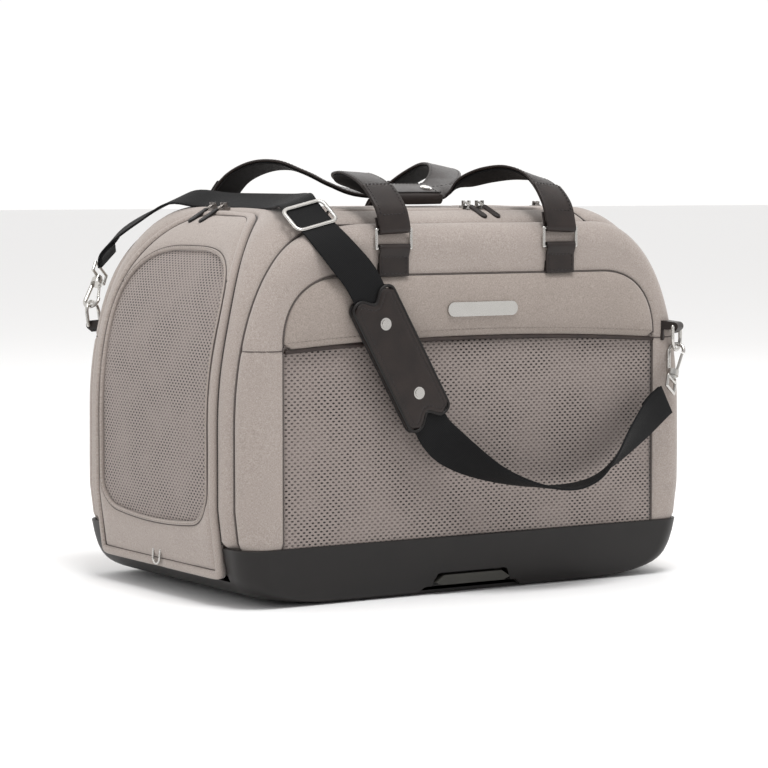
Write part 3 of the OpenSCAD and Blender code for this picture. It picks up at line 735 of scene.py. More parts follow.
def window_outline(half, low, top_z, corner_low, sag):
    """The door's mesh window as (y, u): a sagging lower edge and a rounded top."""
    q = superquarter(half, top_z - 245, 3.2, 24)
    right = np.column_stack([q[:, 0], u_of_z(245 + q[:, 1])])
    bottom = superquarter(corner_low, corner_low, 2.0, 10)
    corner = np.column_stack([half - corner_low + bottom[:, 0], low + corner_low - bottom[:, 1]])[::-1]
    half_bottom = np.column_stack([np.linspace(0, half - corner_low, 10), np.full(10, low)])[:-1]
    path = np.vstack([half_bottom, corner, right])
    path[:, 1] += np.where(path[:, 1] < 160, sag * (np.abs(path[:, 0]) / half) ** 2 * (160 - path[:, 1]) / 90,
                           0)
    return np.vstack([path, path[::-1][:-1] * [-1, 1]])


window_edge = smooth_corners(window_outline(110, 71, 338, 30, 9), 3, 3.0)


def roll(d, top, reach, base):
    """A padded roll's height: an ellipse that rises from its edge."""
    x = 1 - np.clip(d / reach, 0, 1)
    return base + (top - base) * np.sqrt(np.maximum(1 - x * x, 0))


def mirrored_surface(surface):
    return lambda st, h: surface(st, h) * [-1, 1, 1]


def end_parts(side):
    """One end of the bag: gusset, door, window, mesh, binding and zip."""
    left = side == "left"
    surf = shell if left else mirrored_surface(shell)
    swap = left
    door_body = "door_" + side
    low = TUCK_Z
    gusset = [[-SEAM_Y, low], [SEAM_Y, low], [SEAM_Y, float(u_of_x(-CROSS_SEAM_X))],
              [-SEAM_Y, float(u_of_x(-CROSS_SEAM_X))]]

    def gusset_height(d, st):
        return roll(d, 2.6, 15, -3.2) + ripple(st, 46, 0.35, 1.0 if left else 4.0) * np.clip(d / 10, 0, 1)
    g = patch(f"gusset_shell_{side}", gusset, [hole_edge], tucked(surf), gusset_height, SHELL_THICK, FABRIC,
              "root",
              4.0, (4.0, 3.0, 2.0, 1.2, 0.5, 0.0), swap)
    soft(f"gusset_{side}")

    # door: padded roll around the edge, panel inside it, bound mesh window
    inward = inward_of(door_edge)
    t = np.linspace(0, math.pi, 12)
    profile = [(0.3, -5.0)] + [(4.6 - 4.3 * math.cos(a), 0.3 + 3.2 * math.sin(a)) for a in t] + [(8.9, -5.0)]
    foot = 1 - 0.8 * np.exp(-(door_edge[:, 0] / 12) ** 4) * (door_edge[:, 1] < 60)
    pulls = 1 - 0.5 * np.exp(-((door_edge[:, 0] + 35) / 34) ** 4) * (door_edge[:, 1] > 300)
    r = band(f"door_roll_{side}", door_edge, inward, profile, surf, FABRIC, door_body, True,
             not swap,
             foot * pulls)
    panel_edge = door_edge + inward * 8.4

    def panel_height(d, st):
        puff = 2.0 * (1 - np.exp(-d / 6)) + ripple(st, 38, 0.4, 2.0)
        dip = 1.2 * np.exp(-((st[:, 0] + 35) / 26) ** 2 - ((st[:,
                                                               1] - DOOR_TOP_U) / 26) ** 2) * np.clip(d / 8, 0, 1)
        return puff - rounded(d, 2.0) * 0.6 - dip
    p = patch(f"door_panel_{side}", panel_edge, [window_edge], surf, panel_height, 5.0, FABRIC, door_body,
              2.6, (1.6, 0.9, 0.4, 0.0), swap)
    soft(f"{side}_door")
    # Dark cord in the crease between roll and panel: a painted shadow line.
    seam(f"door_seam_{side}", surf, door_edge + inward * 8.9, 0.15, 0.7, SEAM_SHADOW_AND_PIPING, door_body, 6, True)

    mesh_edge = window_edge + inward_of(window_edge) * 0.4

    def mesh_height(d, st):
        return -1.6 + 1.2 * np.clip(d / 60, 0, 1) + ripple(st, 60, 0.35, 3.0)
    m = patch(f"door_mesh_{side}", mesh_edge, [], surf, mesh_height, 3.4, DOOR_MESH, door_body,
              5.0, (1.4, 0.7, 0.0), swap)
    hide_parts(f"{side}_door_mesh")
    into = inward_of(window_edge)
    t = np.linspace(0, math.pi, 8)
    profile = [(-1.3, -2.2)] + [(0.6 - 1.9 * math.cos(a), 0.2 + 1.9 * math.sin(a)) for a in t] + [(2.5, -2.2)]
    band(f"window_binding_{side}", window_edge, into, profile, surf, FABRIC, door_body, True,
         not swap)
    stitch_loop(f"window_stitch_{side}", surf, window_edge + into * 0.6, 2.1, THREAD, door_body,
                2.6, 1.3, 0.33, 0.05, "shell_fabric")
    # Dark cord in the crease outside the binding: a painted shadow line.
    seam(f"window_shadow_cord_{side}", surf, window_edge - into * 1.7, 0.9, 0.55, SEAM_SHADOW_AND_PIPING, door_body, 6, True)

    # zip between the door and the gusset, on the gusset's side
    order = np.argsort(np.arctan2(door_edge[:, 1] - 200, door_edge[:, 0]) % (2 * math.pi))
    line = door_edge[order]
    line = line[line[:, 1] > RIM + 2]
    start = int(np.argmin(np.arctan2(line[:, 0], -(line[:, 1] - 200)) % (2 * math.pi)))
    line = np.roll(line, -start, 0)
    out = line - inward_of(line, False) * 0.4
    pts, nrm = drawn(surf, out, -2.2)
    z = tube(f"zip_coil_{side}", pts, 1.5, COIL, "root", 8, False, 0.7, nrm)
    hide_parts(f"{side}_zip_track")
    # seams between the gusset and the two face panels, each a dark cord sunk in the crease: a painted shadow line
    for tag, y in (("front", -SEAM_Y), ("back", SEAM_Y)):
        u = np.arange(low, float(u_of_x(-CROSS_SEAM_X)) + 3, 3.0)
        seam(f"end_seam_{tag}_{side}", tucked(surf), np.column_stack([np.full(len(u), y), u]), SEAM_DEPTH,
             1.15, SEAM_SHADOW_AND_PIPING,
             "root", 7)


def top_parts():
    """Gusset and flap at the top, with the zip and seams between them."""
    left, right = float(u_of_x(-CROSS_SEAM_X)), float(u_of_x(CROSS_SEAM_X))
    outline = [[-SEAM_Y, left], [SEAM_Y, left], [SEAM_Y, right], [-SEAM_Y, right]]

    def plate(half_x, half_y, r):
        return resample(rounded_rectangle(half_y, half_x, r, 10) + [0, MID], 3.0, True)
    hole, flap = plate(141.8, 111.8, 30.8), plate(141, 111, 30)

    def gusset_height(d, st):
        return roll(d, 1.4, 12, -2.6) + ripple(st, 60, 0.3, 5.0) * np.clip(d / 10, 0, 1)
    g = patch("gusset_shell_top", outline, [hole], shell, gusset_height, SHELL_THICK, FABRIC, "root", 2.6,
              (1.5, 0.9, 0.4, 0.0), True)
    soft("gusset_top")

    def flap_height(d, st):
        border = -0.9 * np.exp(-((d - 12) / 1.6) ** 2)
        return roll(d, 1.2, 6, -2.4) + 0.6 * (1 - np.exp(-d / 30)) + border + ripple(st, 70, 0.25, 6.0)
    f = patch("flap_shell", flap, [], shell, flap_height, SHELL_THICK, FABRIC, "flap", 3.6,
              (14.0, 13.0, 12.4, 12.0, 11.6, 11.0, 9.5, 7.0, 4.5, 3.0, 2.0, 1.1, 0.4, 0.0), True)
    soft("top_flap")
    stitch_loop("flap_stitch", shell, inset_path(flap, 12), 1.1, THREAD, "flap", 3.0, 1.5, 0.35, 0.0,
                "shell_fabric")
    pts, nrm = drawn(shell, inset_path(flap, -0.4), -1.9)
    line = looped(pts)
    z = tube("zip_coil_top", line, 1.4, COIL, "root", 8, False, 0.7, looped(nrm))
    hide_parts("top_zip_track")
    # Dark cords in the top seams' creases: painted shadow lines.
    for tag, y in (("front", -SEAM_Y), ("back", SEAM_Y)):
        u = np.linspace(left, right, 100)
        seam(f"top_seam_{tag}", shell, np.column_stack([np.full(len(u), y), u]), SEAM_DEPTH, 1.15, SEAM_SHADOW_AND_PIPING,
             "root", 7)
    for tag, u in (("left", left), ("right", right)):
        y = np.linspace(-SEAM_Y, SEAM_Y, 80)
        seam(f"cross_seam_{tag}", shell, np.column_stack([y, np.full(len(y), u)]), SEAM_DEPTH, 0.9, SEAM_SHADOW_AND_PIPING,
             "root", 6)


# ---------------------------------------------------------------- front and back faces

WINDOW_X, WINDOW_TOP, HEADER_Z, HEADER_TOP, HEADER_CORNER = 218.0, 250.0, 246.0, 313.0, 66.0


def plane(back):
    sign = 1 if back else -1
    return lambda st, h: np.stack([st[:, 0], sign * (HALF_W + np.asarray(h)), st[:, 1]], -1)


def face_panel(back):
    """The padded corner strip and yoke of one face, with a sewn-in window and header."""
    tag = "back" if back else "front"
    sign = 1 if back else -1
    low = TUCK_Z
    us = np.concatenate([np.arange(low, MID, 4.0), [MID]])
    us = np.concatenate([us, (2 * MID - us[:-1])[::-1]])
    # inner edge at matching places
    arc = superquarter(HEADER_CORNER, HEADER_TOP - HEADER_Z, 2.3, 60) + [WINDOW_X - HEADER_CORNER, HEADER_Z]
    half = np.vstack([[[WINDOW_X, low]], [[WINDOW_X, SPRING]], [[WINDOW_X, HEADER_Z]], arc[1:],
                      [[0, HEADER_TOP]]])
    run = lengths(half)
    v = np.where(us <= MID, us, 2 * MID - us)
    wall = SPRING - low
    s = np.where(v < SPRING, v - low, wall + (v - SPRING) / (MID - SPRING) * (run[-1] - wall))
    ix, iz = np.interp(s, run, half[:, 0]), np.interp(s, run, half[:, 1])
    ix = np.where(us <= MID, -ix, ix)
    phis = np.radians([0, 4, 8, 14, 22, 32, 42, 52, 62, 72, 82, 90])
    rows, flat_d = [], []
    for phi in phis:
        y = SEAM_Y + EDGE * math.sin(phi)
        g = -EDGE * (1 - math.cos(phi))
        x, z = arch_point(us, g, g)
        rows.append(np.stack([x, np.full(len(us), y), z], 1))
    ox, oz = rows[-1][:, 0], rows[-1][:, 2]
    for w in (0.06, 0.14, 0.24, 0.36, 0.5, 0.64, 0.76, 0.86, 0.93, 0.97, 0.99, 1.0):
        rows.append(np.stack([ox + (ix - ox) * w, np.full(len(us), HALF_W), oz + (iz - oz) * w], 1))
    grid = np.stack(rows, 1)
    grid[:, :, 1] *= sign
    # distance along each row from the seam and to the inner edge
    steps = np.linalg.norm(np.diff(grid, axis=1), axis=2)
    from_seam = np.concatenate([np.zeros((len(us), 1)), np.cumsum(steps, 1)], 1)
    to_inner = from_seam[:, -1:] - from_seam
    dv = np.gradient(grid, axis=1)
    du = np.gradient(grid, axis=0)
    n = unit(np.cross(du, dv))
    middle = grid - [0, 0, 150.0]
    n *= np.sign((n * middle).sum(-1, keepdims=True))
    st = np.stack([np.repeat(us[:, None], grid.shape[1], 1), from_seam], -1)
    flat = st.reshape(-1, 2)
    d = np.minimum(from_seam, to_inner).ravel()
    z = grid[:, :, 2].ravel()
    height = roll(np.minimum(from_seam.ravel(), 40), 1.4, 11, -3.0)
    height = np.minimum(height, roll(to_inner.ravel(), 1.4, 6, -1.6))
    yoke = np.clip((z - 250) / 60, 0, 1) * np.clip(d / 22, 0, 1)
    height += 1.5 * yoke + ripple(flat, 60, 0.4, 7.0 if back else 0.5) * np.clip(d / 12, 0, 1)
    height -= 1.3 * np.exp(-((z - 244) / 1.7) ** 2)
    height -= 3.2 * np.clip((61 - z) / 6, 0, 1)
    if not back:
        press = signed_distance(grid[:, :, [0, 2]].reshape(-1, 2),
                                [(-176, 384), (-174, 366), (-155, 332), (-154, 333)])[0]
        height -= 4.2 * np.exp(-(press / 24) ** 2) * (grid[:, :, 1].ravel() < 0)
    height = height.reshape(grid.shape[:2])
    outer = grid + n * height[..., None]
    inner = grid - n * 6.6
    inner[:, :, 1] = np.clip(inner[:, :, 1], -HALF_W + 5, HALF_W - 5)
    a, b = grid.shape[:2]
    verts = np.vstack([outer.reshape(-1, 3), inner.reshape(-1, 3)])
    idx = np.arange(a * b).reshape(a, b)
    faces = []
    for i in range(a - 1):
        for k in range(b - 1):
            f = (idx[i, k], idx[i + 1, k], idx[i + 1, k + 1], idx[i, k + 1])
            faces += [f, tuple(a * b + q for q in f[::-1])]
    loop = ([(idx[i, 0], idx[i + 1, 0]) for i in range(a - 1)]
            + [(idx[-1, k], idx[-1, k + 1]) for k in range(b - 1)]
            + [(idx[i + 1, -1], idx[i, -1]) for i in range(a - 1)] + [(idx[0, k + 1], idx[0, k]) for k in range(b - 1)])
    faces += [(q, p, p + a * b, q + a * b) for p, q in loop]
    if not back:
        faces = [f[::-1] for f in faces]
    cloth = np.column_stack([flat, height.ravel()])
    cloth = np.vstack([cloth, cloth])
    o = make(f"face_panel_{tag}", verts, faces, FABRIC, "root", cloth)
    soft(f"{tag}_panel")
    # the strips' cross seam at the header's foot, a dark cord: a painted shadow line
    for side in (-1, 1):
        rows_at = np.argmin(np.abs(grid[:, :, 2] - 244) + np.where(grid[:, :, 0] * side > 0, 0, 999), axis=0)
        line = np.array([outer[r, k] + (244 - grid[r, k, 2]) * np.array([0, 0, 1.0]) for k,
                         r in enumerate(rows_at)])
        nl = np.array([n[r, k] for k, r in enumerate(rows_at)])
        tube(f"strip_seam_{tag}_{'left' if side < 0 else 'right'}", line[1:-2] + nl[1:-2] * 0.25, 0.6, SEAM_SHADOW_AND_PIPING,
             "root",
             6, False, 0.8, nl[1:-2])


def header_outline(grow=0.0):
    arc = superquarter(HEADER_CORNER + grow, HEADER_TOP - HEADER_Z + grow, 2.3, 24)
    right = arc + [WINDOW_X - HEADER_CORNER, HEADER_Z]
    half = np.vstack([right, [[0, HEADER_TOP + grow]]])
    top = np.vstack([half, half[::-1][1:] * [-1, 1]])
    xs = np.linspace(-WINDOW_X - grow, WINDOW_X + grow, 60)[1:-1]
    lower = np.column_stack([xs, HEADER_Z - 2 - grow + 8 * (1 - (xs / WINDOW_X) ** 2)])
    return np.vstack([top, lower])


def face_soft(back):
    """Header band with piping, and the mesh window under it."""
    tag = "back" if back else "front"
    surf = plane(back)
    edge = resample(header_outline(-0.4), 4.0, True)

    def header_height(d, st):
        return roll(d, 6.4, 20, 0.2) + 1.6 * np.clip((d - 8) / 26, 0, 1) + ripple(st, 42, 0.45,
                                                                                  8.0) * np.clip(d / 14, 0, 1)
    h = patch(f"header_{tag}", edge, [], surf, header_height, 0.2, HEADER, "root", 4.0,
              (5.0, 3.8, 2.6, 1.6, 0.8, 0.3, 0.0), back)
    soft(f"{tag}_header")
    xs = np.linspace(-WINDOW_X + 1, WINDOW_X - 1, 130)
    zs = HEADER_Z - 3.2 + 8 * (1 - (xs / WINDOW_X) ** 2)
    seam(f"header_piping_{tag}", surf, np.column_stack([xs, zs]), 1.6, 2.1, PIPING, "root", 10)
    pts, nrm = drawn(surf, np.column_stack([xs, zs + 8.5]), 5.2)
    stitches(f"header_stitch_{tag}", pts, nrm, THREAD, "root", 3.2, 1.6, 0.34, 0.0, "header_fabric")

    def mesh_height(d, st):
        return -1.6 + 1.6 * np.clip(d / 50, 0, 1) + ripple(st, 90, 0.5, 9.0)
    outline = resample([[-WINDOW_X - 0.5, TUCK_Z], [WINDOW_X + 0.5, TUCK_Z], [WINDOW_X + 0.5, WINDOW_TOP],
                        [-WINDOW_X - 0.5, WINDOW_TOP]], 5.0, True)
    m = patch(f"window_mesh_{tag}", outline, [], surf, mesh_height, 3.6, MESH, "root", 7.0,
              (1.5, 0.7, 0.0), back)
    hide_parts(f"{tag}_mesh")
    # Dark cords in the creases at the window's sides: painted shadow lines.
    for side in (-1, 1):
        line = np.column_stack([np.full(50, side * (WINDOW_X + 0.3)), np.linspace(RIM - 4, HEADER_Z - 4, 50)])
        seam(f"window_shadow_cord_{tag}_{'left' if side < 0 else 'right'}", surf, line, -0.6, 1.1, SEAM_SHADOW_AND_PIPING, "root", 7)
    # Dark cord along the header's top edge: a painted shadow line.
    c = resample(header_outline(0.6)[:80], 3.0)
    seam(f"header_shadow_cord_{tag}", surf, c[c[:, 1] > HEADER_Z + 2], 0.2, 1.0, SEAM_SHADOW_AND_PIPING, "root", 7)


# ---------------------------------------------------------------- straps

def strap_frames(stations, steps):
    p = catmull([s[0] for s in stations], steps)
    w = catmull([s[1] for s in stations], steps)
    run = unit(np.concatenate([[p[1] - p[0]], p[2:] - p[:-2], [p[-1] - p[-2]]]))
    across = unit(w - run * (w * run).sum(1, keepdims=True))
    return p, across, np.cross(across, run)


def flat_profile(width, thick, bevel=0.45, crown=0.0):
    """Rounded cross-section of a flat strap, as (across, up) points."""
    pts = rounded_rectangle(width / 2, thick / 2, thick * bevel, 4)
    out = []
    for i, (x, y) in enumerate(pts):
        out.append((x, y))
        nx, ny = pts[(i + 1) % len(pts)]
        if abs(nx - x) > width * 0.5:
            for f in (0.2, 0.4, 0.6, 0.8):
                px = x + (nx - x) * f
                out.append((px, y + math.copysign(crown, y) * (1 - (2 * px / width) ** 2)))
    return np.array(out)


def strap(name, p, across, up, width, thick, offset, mat, body, crown=0.0, bevel=0.45):
    prof = flat_profile(width, thick, bevel, crown)
    centre = p + up * offset
    ring = (centre[:, None] + prof[None, :, :1] * across[:, None] + prof[None, :, 1:] * up[:, None])
    run = lengths(p)
    cloth = np.stack([np.tile(prof[:, 0] + prof[:, 1], len(p)), np.repeat(run, len(prof)),
                      np.zeros(len(p) * len(prof))], 1)
    faces = lofted(ring)
    # wind the faces outwards
    mid = len(p) // 2
    a, b, c = ring[mid, 0], ring[mid, 1], ring[mid + 1, 1]
    if np.dot(np.cross(b - a, c - b), (a + b) / 2 - centre[mid]) < 0:
        faces = [f[::-1] for f in faces]
    return make(name, ring.reshape(-1, 3), faces, mat, body, cloth)


FRONT_RUN = [
    [(-98, -171, 360), (-1, 0, 0)], [(-99, -164, 378), (-1, 0, 0)], [(-100, -140, 399), (-1, 0, 0)],
    [(-99, -108, 409), (-1, 0, 0.05)], [(-92, -80, 408), (-0.9, 0.4, 0.1)], [(-78, -60, 401),
                                                                             (-0.7, 0.7, 0.2)],
    [(-58, -47, 394), (-0.25, 0.95, 0.3)], [(-36, -41, 390.5), (0, 0.95, 0.32)], [(0, -40, 390),
                                                                                  (0, 0.95, 0.32)],
    [(36, -40, 390.5), (0, 0.95, 0.32)], [(50, -46, 394), (0.2, 0.95, 0.05)], [(62, -60, 402),
                                                                               (0.6, 0.7, -0.3)],
    [(76, -80, 409), (0.75, 0.55, -0.4)], [(90, -104, 411), (0.85, 0.4, -0.35)], [(98, -134, 404),
                                                                                  (0.95, 0.2, -0.15)],
    [(99, -161, 382), (1, 0, 0)], [(98, -171, 360), (1, 0, 0)]]
BACK_RUN = [
    [(-98, 171, 360), (1, 0, 0)], [(-99, 163, 380), (1, 0, 0)], [(-98, 132, 404), (0.95, 0.1, -0.15)],
    [(-90, 98, 417), (0.9, 0.3, -0.25)], [(-80, 66, 419), (0.8, 0.55, -0.2)], [(-69, 40, 411), (0.5, 0.8, 0)],
    [(-55, 20, 400), (0.2, 0.95, 0.15)], [(-36, 10, 392), (0, 1, 0.2)], [(0, 8, 388), (0, 1, 0.1)],
    [(32, 8, 389), (0, 1, 0.1)], [(60, 12, 393), (-0.2, 1, 0.1)], [(85, 24, 401), (-0.55, 0.85, 0.1)],
    [(106, 46, 411), (-0.85, 0.5, 0.15)], [(118, 74, 417), (-0.95, 0.15, 0.2)], [(121, 104, 415),
                                                                                 (-1, -0.1, 0.2)],
    [(114, 136, 402), (-1, -0.15, 0.1)], [(103, 162, 380), (-1, -0.05, 0)], [(98, 171, 360), (-1, 0, 0)]]
STRAP_RUN = [
    [(-221, 190.5, 321), (0.7, 0.5, 0.4)], [(-223, 184, 334), (0.7, 0.5, 0.45)], [(-213, 171, 350),
                                                                                  (0.75, 0.45, 0.45)],
    [(-194, 148, 368), (0.85, 0.3, 0.4)], [(-172, 118, 385), (0.92, 0.12, 0.3)], [(-148, 82, 383.5),
                                                                                  (0.93, 0.05, 0.35)],
    [(-147, 14, 383), (0.93, 0, 0.37)], [(-150, -44, 383), (0.93, 0, 0.37)], [(-164, -90, 384),
                                                                              (0.94, 0, 0.34)],
    [(-176, -122, 383), (0.95, 0.03, 0.28)], [(-174, -144, 367.5), (0.93, 0.05, 0.25)],
    [(-169, -163, 352), (0.93, 0.05, 0.25)], [(-156, -174.5, 332), (0.9, 0.03, 0.38)],
    [(-139, -179.5, 310), (0.88, 0, 0.47)], [(-121, -181, 277), (0.88, 0, 0.47)], [(-98, -183, 234),
                                                                                   (0.88, 0, 0.47)],
    [(-75, -185, 191), (0.88, 0, 0.47)], [(-59, -186.5, 161), (0.84, -0.1, 0.5)], [(-34, -191, 139),
                                                                                   (0.55, -0.6, 0.5)],
    [(2, -196, 119), (0.22, -0.95, 0.3)], [(44, -199, 106), (0, -1, 0.1)], [(84, -200, 101), (-0.1, -1, 0)],
    [(118, -199, 107), (-0.25, -0.9, 0.1)], [(148, -196, 124), (-0.45, -0.75, 0.3)], [(176, -192, 147),
                                                                                      (-0.6, -0.5, 0.5)],
    [(204, -187, 169), (-0.7, -0.25, 0.5)], [(221, -187.5, 182), (-0.75, -0.2, 0.4)]]
RING_Y, RING_Z, RING_H, HANDLE_X, HANDLE_W = 171.6, 339.0, 18.0, 98.0, 34.0
WIRE_TURN, FOLD_LENGTH, RUN_STEPS = 3.3, 46, 8
GRIP_CENTRE = [0, -40, 390]
PAD_STATION, ADJUSTER_STEP = 15, 79


def along(p, length):
    """Index of the first point at least this length along the path."""
    return int(np.searchsorted(lengths(p), length))


def stitched_patch(name, p, across, up, out, body):
    """Stitches down both edges and across both ends of a leather patch; out is its outer height."""
    half = HANDLE_W / 2 - 3.2
    skin = p + up * out
    lines = [skin + across * half, (skin - across * half)[::-1]]
    loop = np.vstack([lines[0], lines[1], lines[0][:1]])
    nrm = np.vstack([up, up[::-1], up[:1]]) * np.sign(out)
    stitches(name, loop, nrm, DARK_THREAD, body, 2.8, 1.5, 0.42, 0.05, "leather")


def handle(tag, stations, sign):
    body = "handle_" + tag
    p, across, up = strap_frames(stations, RUN_STEPS)
    leather = strap(f"handle_leather_{tag}", p[1:-1], across[1:-1], up[1:-1], HANDLE_W, 2.3, -1.15, LEATHER,
                    body,
                    0.25)
    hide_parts(f"{tag}_handle")
    strap(f"handle_webbing_{tag}", p[2:-2], across[2:-2], up[2:-2], HANDLE_W - 5, 2.0, 1.1, WEBBING, body)
    skin = p - up * 2.35
    for edge, side in (("a", -1), ("b", 1)):
        line = skin + across * side * (HANDLE_W / 2 - 2.6)
        stitches(f"handle_edge_stitch_{tag}_{edge}", line[10:-10], -up[10:-10], DARK_THREAD, body, 3.0, 1.5,
                 0.32,
                 0.0, "leather")
    # folded end patches that hold the rings
    for end, flip in (("left", False), ("right", True)):
        q, a, n = (p[::-1], across[::-1], up[::-1]) if flip else (p, across, up)
        stop = along(q, FOLD_LENGTH)
        leg, la, ln = q[1:stop + 1], a[1:stop + 1], n[1:stop + 1]
        x = -HANDLE_X if not flip else HANDLE_X
        centre = np.array([x, sign * RING_Y, RING_Z + RING_H])
        outer = leg - ln * 3.3
        turn = np.array([centre + WIRE_TURN * np.array([0, sign * math.cos(t), math.sin(t)])
                         for t in np.radians(np.arange(20, -201, -20))])
        inner = leg[1:5] + ln[1:5] * 2.9
        path = np.vstack([outer[::-1], turn, inner])
        path = resample(path, 2.2)
        ahead = unit(np.gradient(path, axis=0))
        side = unit(np.tile(la[:1], (len(path), 1)))
        take = np.linspace(0, 1, len(path))
        mixed = np.stack([np.interp(take, np.linspace(0, 1, len(outer)), la[::-1][:, k]) for k in range(3)],
                         1)
        side = unit(np.where(take[:, None] < len(outer) / len(path), mixed, side))
        side = unit(side - ahead * (side * ahead).sum(1, keepdims=True))
        normal = np.cross(side, ahead)
        strap(f"handle_fold_{tag}_{end}", path, side, normal, HANDLE_W + 0.6, 1.9, 0, LEATHER, body,
              0.15)
        stitched_patch(f"handle_fold_stitch_{tag}_{end}", leg[4:], la[4:], ln[4:], -4.3, body)


def handle_tab(tag, sign):
    """Leather loops sewn to the face above the header, holding the rings' lower wires."""
    for end, x in (("left", -HANDLE_X), ("right", HANDLE_X)):
        centre = np.array([x, sign * RING_Y, RING_Z])
        outer = [[x, sign * (HALF_W + 4.8), z] for z in (312.5, 316, 321, 326, 331)]
        outer += [[x, sign * (HALF_W + 6.4), 335.0]]
        turn = [centre + WIRE_TURN * np.array([0, sign * math.cos(t), math.sin(t)])
                for t in np.radians(np.arange(0, 201, 20))]
        inner = [[x, sign * (HALF_W + 0.9), 333.0], [x, sign * (HALF_W + 1.0), 320.0],
                 [x, sign * (HALF_W + 1.0), 313.5]]
        path = resample(np.vstack([outer, turn, inner]), 1.6)
        ahead = unit(np.gradient(path, axis=0))
        side = np.tile([[1.0, 0, 0]], (len(path), 1))
        normal = np.cross(side, ahead)
        o = strap(f"ring_tab_{tag}_{end}", path, side, normal, HANDLE_W, 2.2, 0, LEATHER, "root",
                  0.1)
        if end == "left":
            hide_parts(f"{tag}_handle_tabs")
        half, y = HANDLE_W / 2 - 3.2, sign * (HALF_W + 6.0)
        loop = np.array([[x - half, y, 315], [x - half, y, 331], [x + half, y, 331], [x + half, y, 315],
                         [x - half, y, 315]])
        loop = resample(loop, 1.0)
        stitches(f"ring_tab_stitch_{tag}_{end}", loop, np.tile([[0, sign, 0.0]], (len(loop), 1)), DARK_THREAD,
                 "root", 2.8, 1.5, 0.42, 0.05, "leather")


def grip_wrap():
    """Leather sleeve around the front handle's grip, closed by a snap."""
    tilt = Matrix.Rotation(math.radians(18.5), 3, "X")
    half_l, outer_w, outer_t = 34.0, 38.8, 11.4
    outer = flat_profile(outer_w, outer_t, 0.42, 0.5)
    inner = flat_profile(outer_w - 3.6, outer_t - 3.6, 0.4, 0.3)
    rings = []
    for x, grow in ((-half_l, -0.5), (-half_l + 0.6, 0.0), (-20, 0.15), (-6, 0.3), (6, 0.3), (20, 0.15),
                    (half_l - 0.6, 0.0), (half_l, -0.5)):
        rings.append([(x, a * (1 + grow / outer_w * 2), b * (1 + grow / outer_t * 2)) for a, b in outer])
    for x in (half_l, half_l - 1, 0, -half_l + 1, -half_l):
        rings.append([(x, a, b) for a, b in inner])
    ring = np.array(rings)
    m = np.array(tilt)
    world = ring @ m.T + GRIP_CENTRE
    faces = lofted(world, True)
    o = make("grip_wrap", world.reshape(-1, 3), faces, LEATHER, "handle_front")
    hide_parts("handle_wrap")
    top = outer_t / 2 + 0.75
    reach_x, reach_y = 31.0, 14.5
    lengthways = [[[x, y, top - 0.1] for x in np.arange(-reach_x, reach_x + 1, 1.0)]
                  for y in (-reach_y, reach_y)]
    crossways = [[[x, y, top - 0.1] for y in np.arange(-reach_y, reach_y + 0.5, 1.0)]
                 for x in (-reach_x, reach_x)]
    for letter, row in zip("abcd", lengthways + crossways):
        line = np.array(row) @ m.T + GRIP_CENTRE
        stitches(f"grip_stitch_{letter}", line, np.tile([m @ [0, 0, 1.0]], (len(line), 1)), DARK_THREAD,
                 "handle_front",
                 2.8, 1.5, 0.42, 0.0, "leather")
    # the sleeve's overlapping edge
    line = np.array([[x, -outer_w / 2 + 5.5, top + 0.15]
                     for x in np.linspace(-33.6, 33.6, 12)]) @ m.T + GRIP_CENTRE
    tube("grip_overlap", line, 0.7, EDGE_PAINT, "handle_front", 8, False)


def shoulder_strap():
    p, across, up = strap_frames(STRAP_RUN, RUN_STEPS)
    o = strap("strap_webbing", p, across, up, 38.0, 2.3, 0, WEBBING, "root")
    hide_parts("shoulder_strap")
    for tag, q, a, n in (("front", p[::-1], across[::-1], up[::-1]), ("back", p, across, up)):
        stop = along(q, 30)
        s = strap(f"strap_end_{tag}", q[1:stop], a[1:stop], n[1:stop], 37.0, 2.0, 2.3, WEBBING, "root")
        i0 = along(q, 16)
        i1 = stop - 1
        half = 15
        skin = q + n * 3.4
        box = np.array([skin[i0] + a[i0] * half, skin[i0] - a[i0] * half, skin[i1] - a[i1] * half,
                        skin[i1] + a[i1] * half, skin[i0] + a[i0] * half, skin[i1] - a[i1] * half])
        line = resample(box, 1.2)
        stitches(f"strap_box_stitch_{tag}", line, np.tile(n[i0:i0 + 1], (len(line), 1)), DARK_THREAD, "root",
                 2.6,
                 1.3, 0.42, 0.0, "webbing")


def strap_frame():
    """The strap's length adjuster: a rounded wire frame over the webbing and a bar under it."""
    p, across, up = strap_frames(STRAP_RUN, RUN_STEPS)
    i = ADJUSTER_STEP
    run = np.cross(up[i], across[i])
    centre = p[i] - up[i] * 2.9 + run * 1.0
    loop = np.array([centre + across[i] * x + run * y for x, y in rounded_rectangle(22.5, 15, 6, 5)])
    loop = resample(loop, 2.0, True)
    o = tube("strap_adjuster", loop, 2.1, NICKEL, "strap_buckle", 10, True, 0.62,
             np.tile(-up[i], (len(loop), 1)))
    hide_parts("strap_slider")
    ends = [centre + across[i] * x + up[i] * z for x,
            z in ((-21.6, 0.4), (-21.2, 3.4), (-19, 5.6), (0, 5.8), (19, 5.6),
                                                            (21.2, 3.4), (21.6, 0.4))]
    tube("strap_adjuster_bar", catmull(np.array(ends), 4), 1.5, NICKEL, "strap_buckle", 10, False)


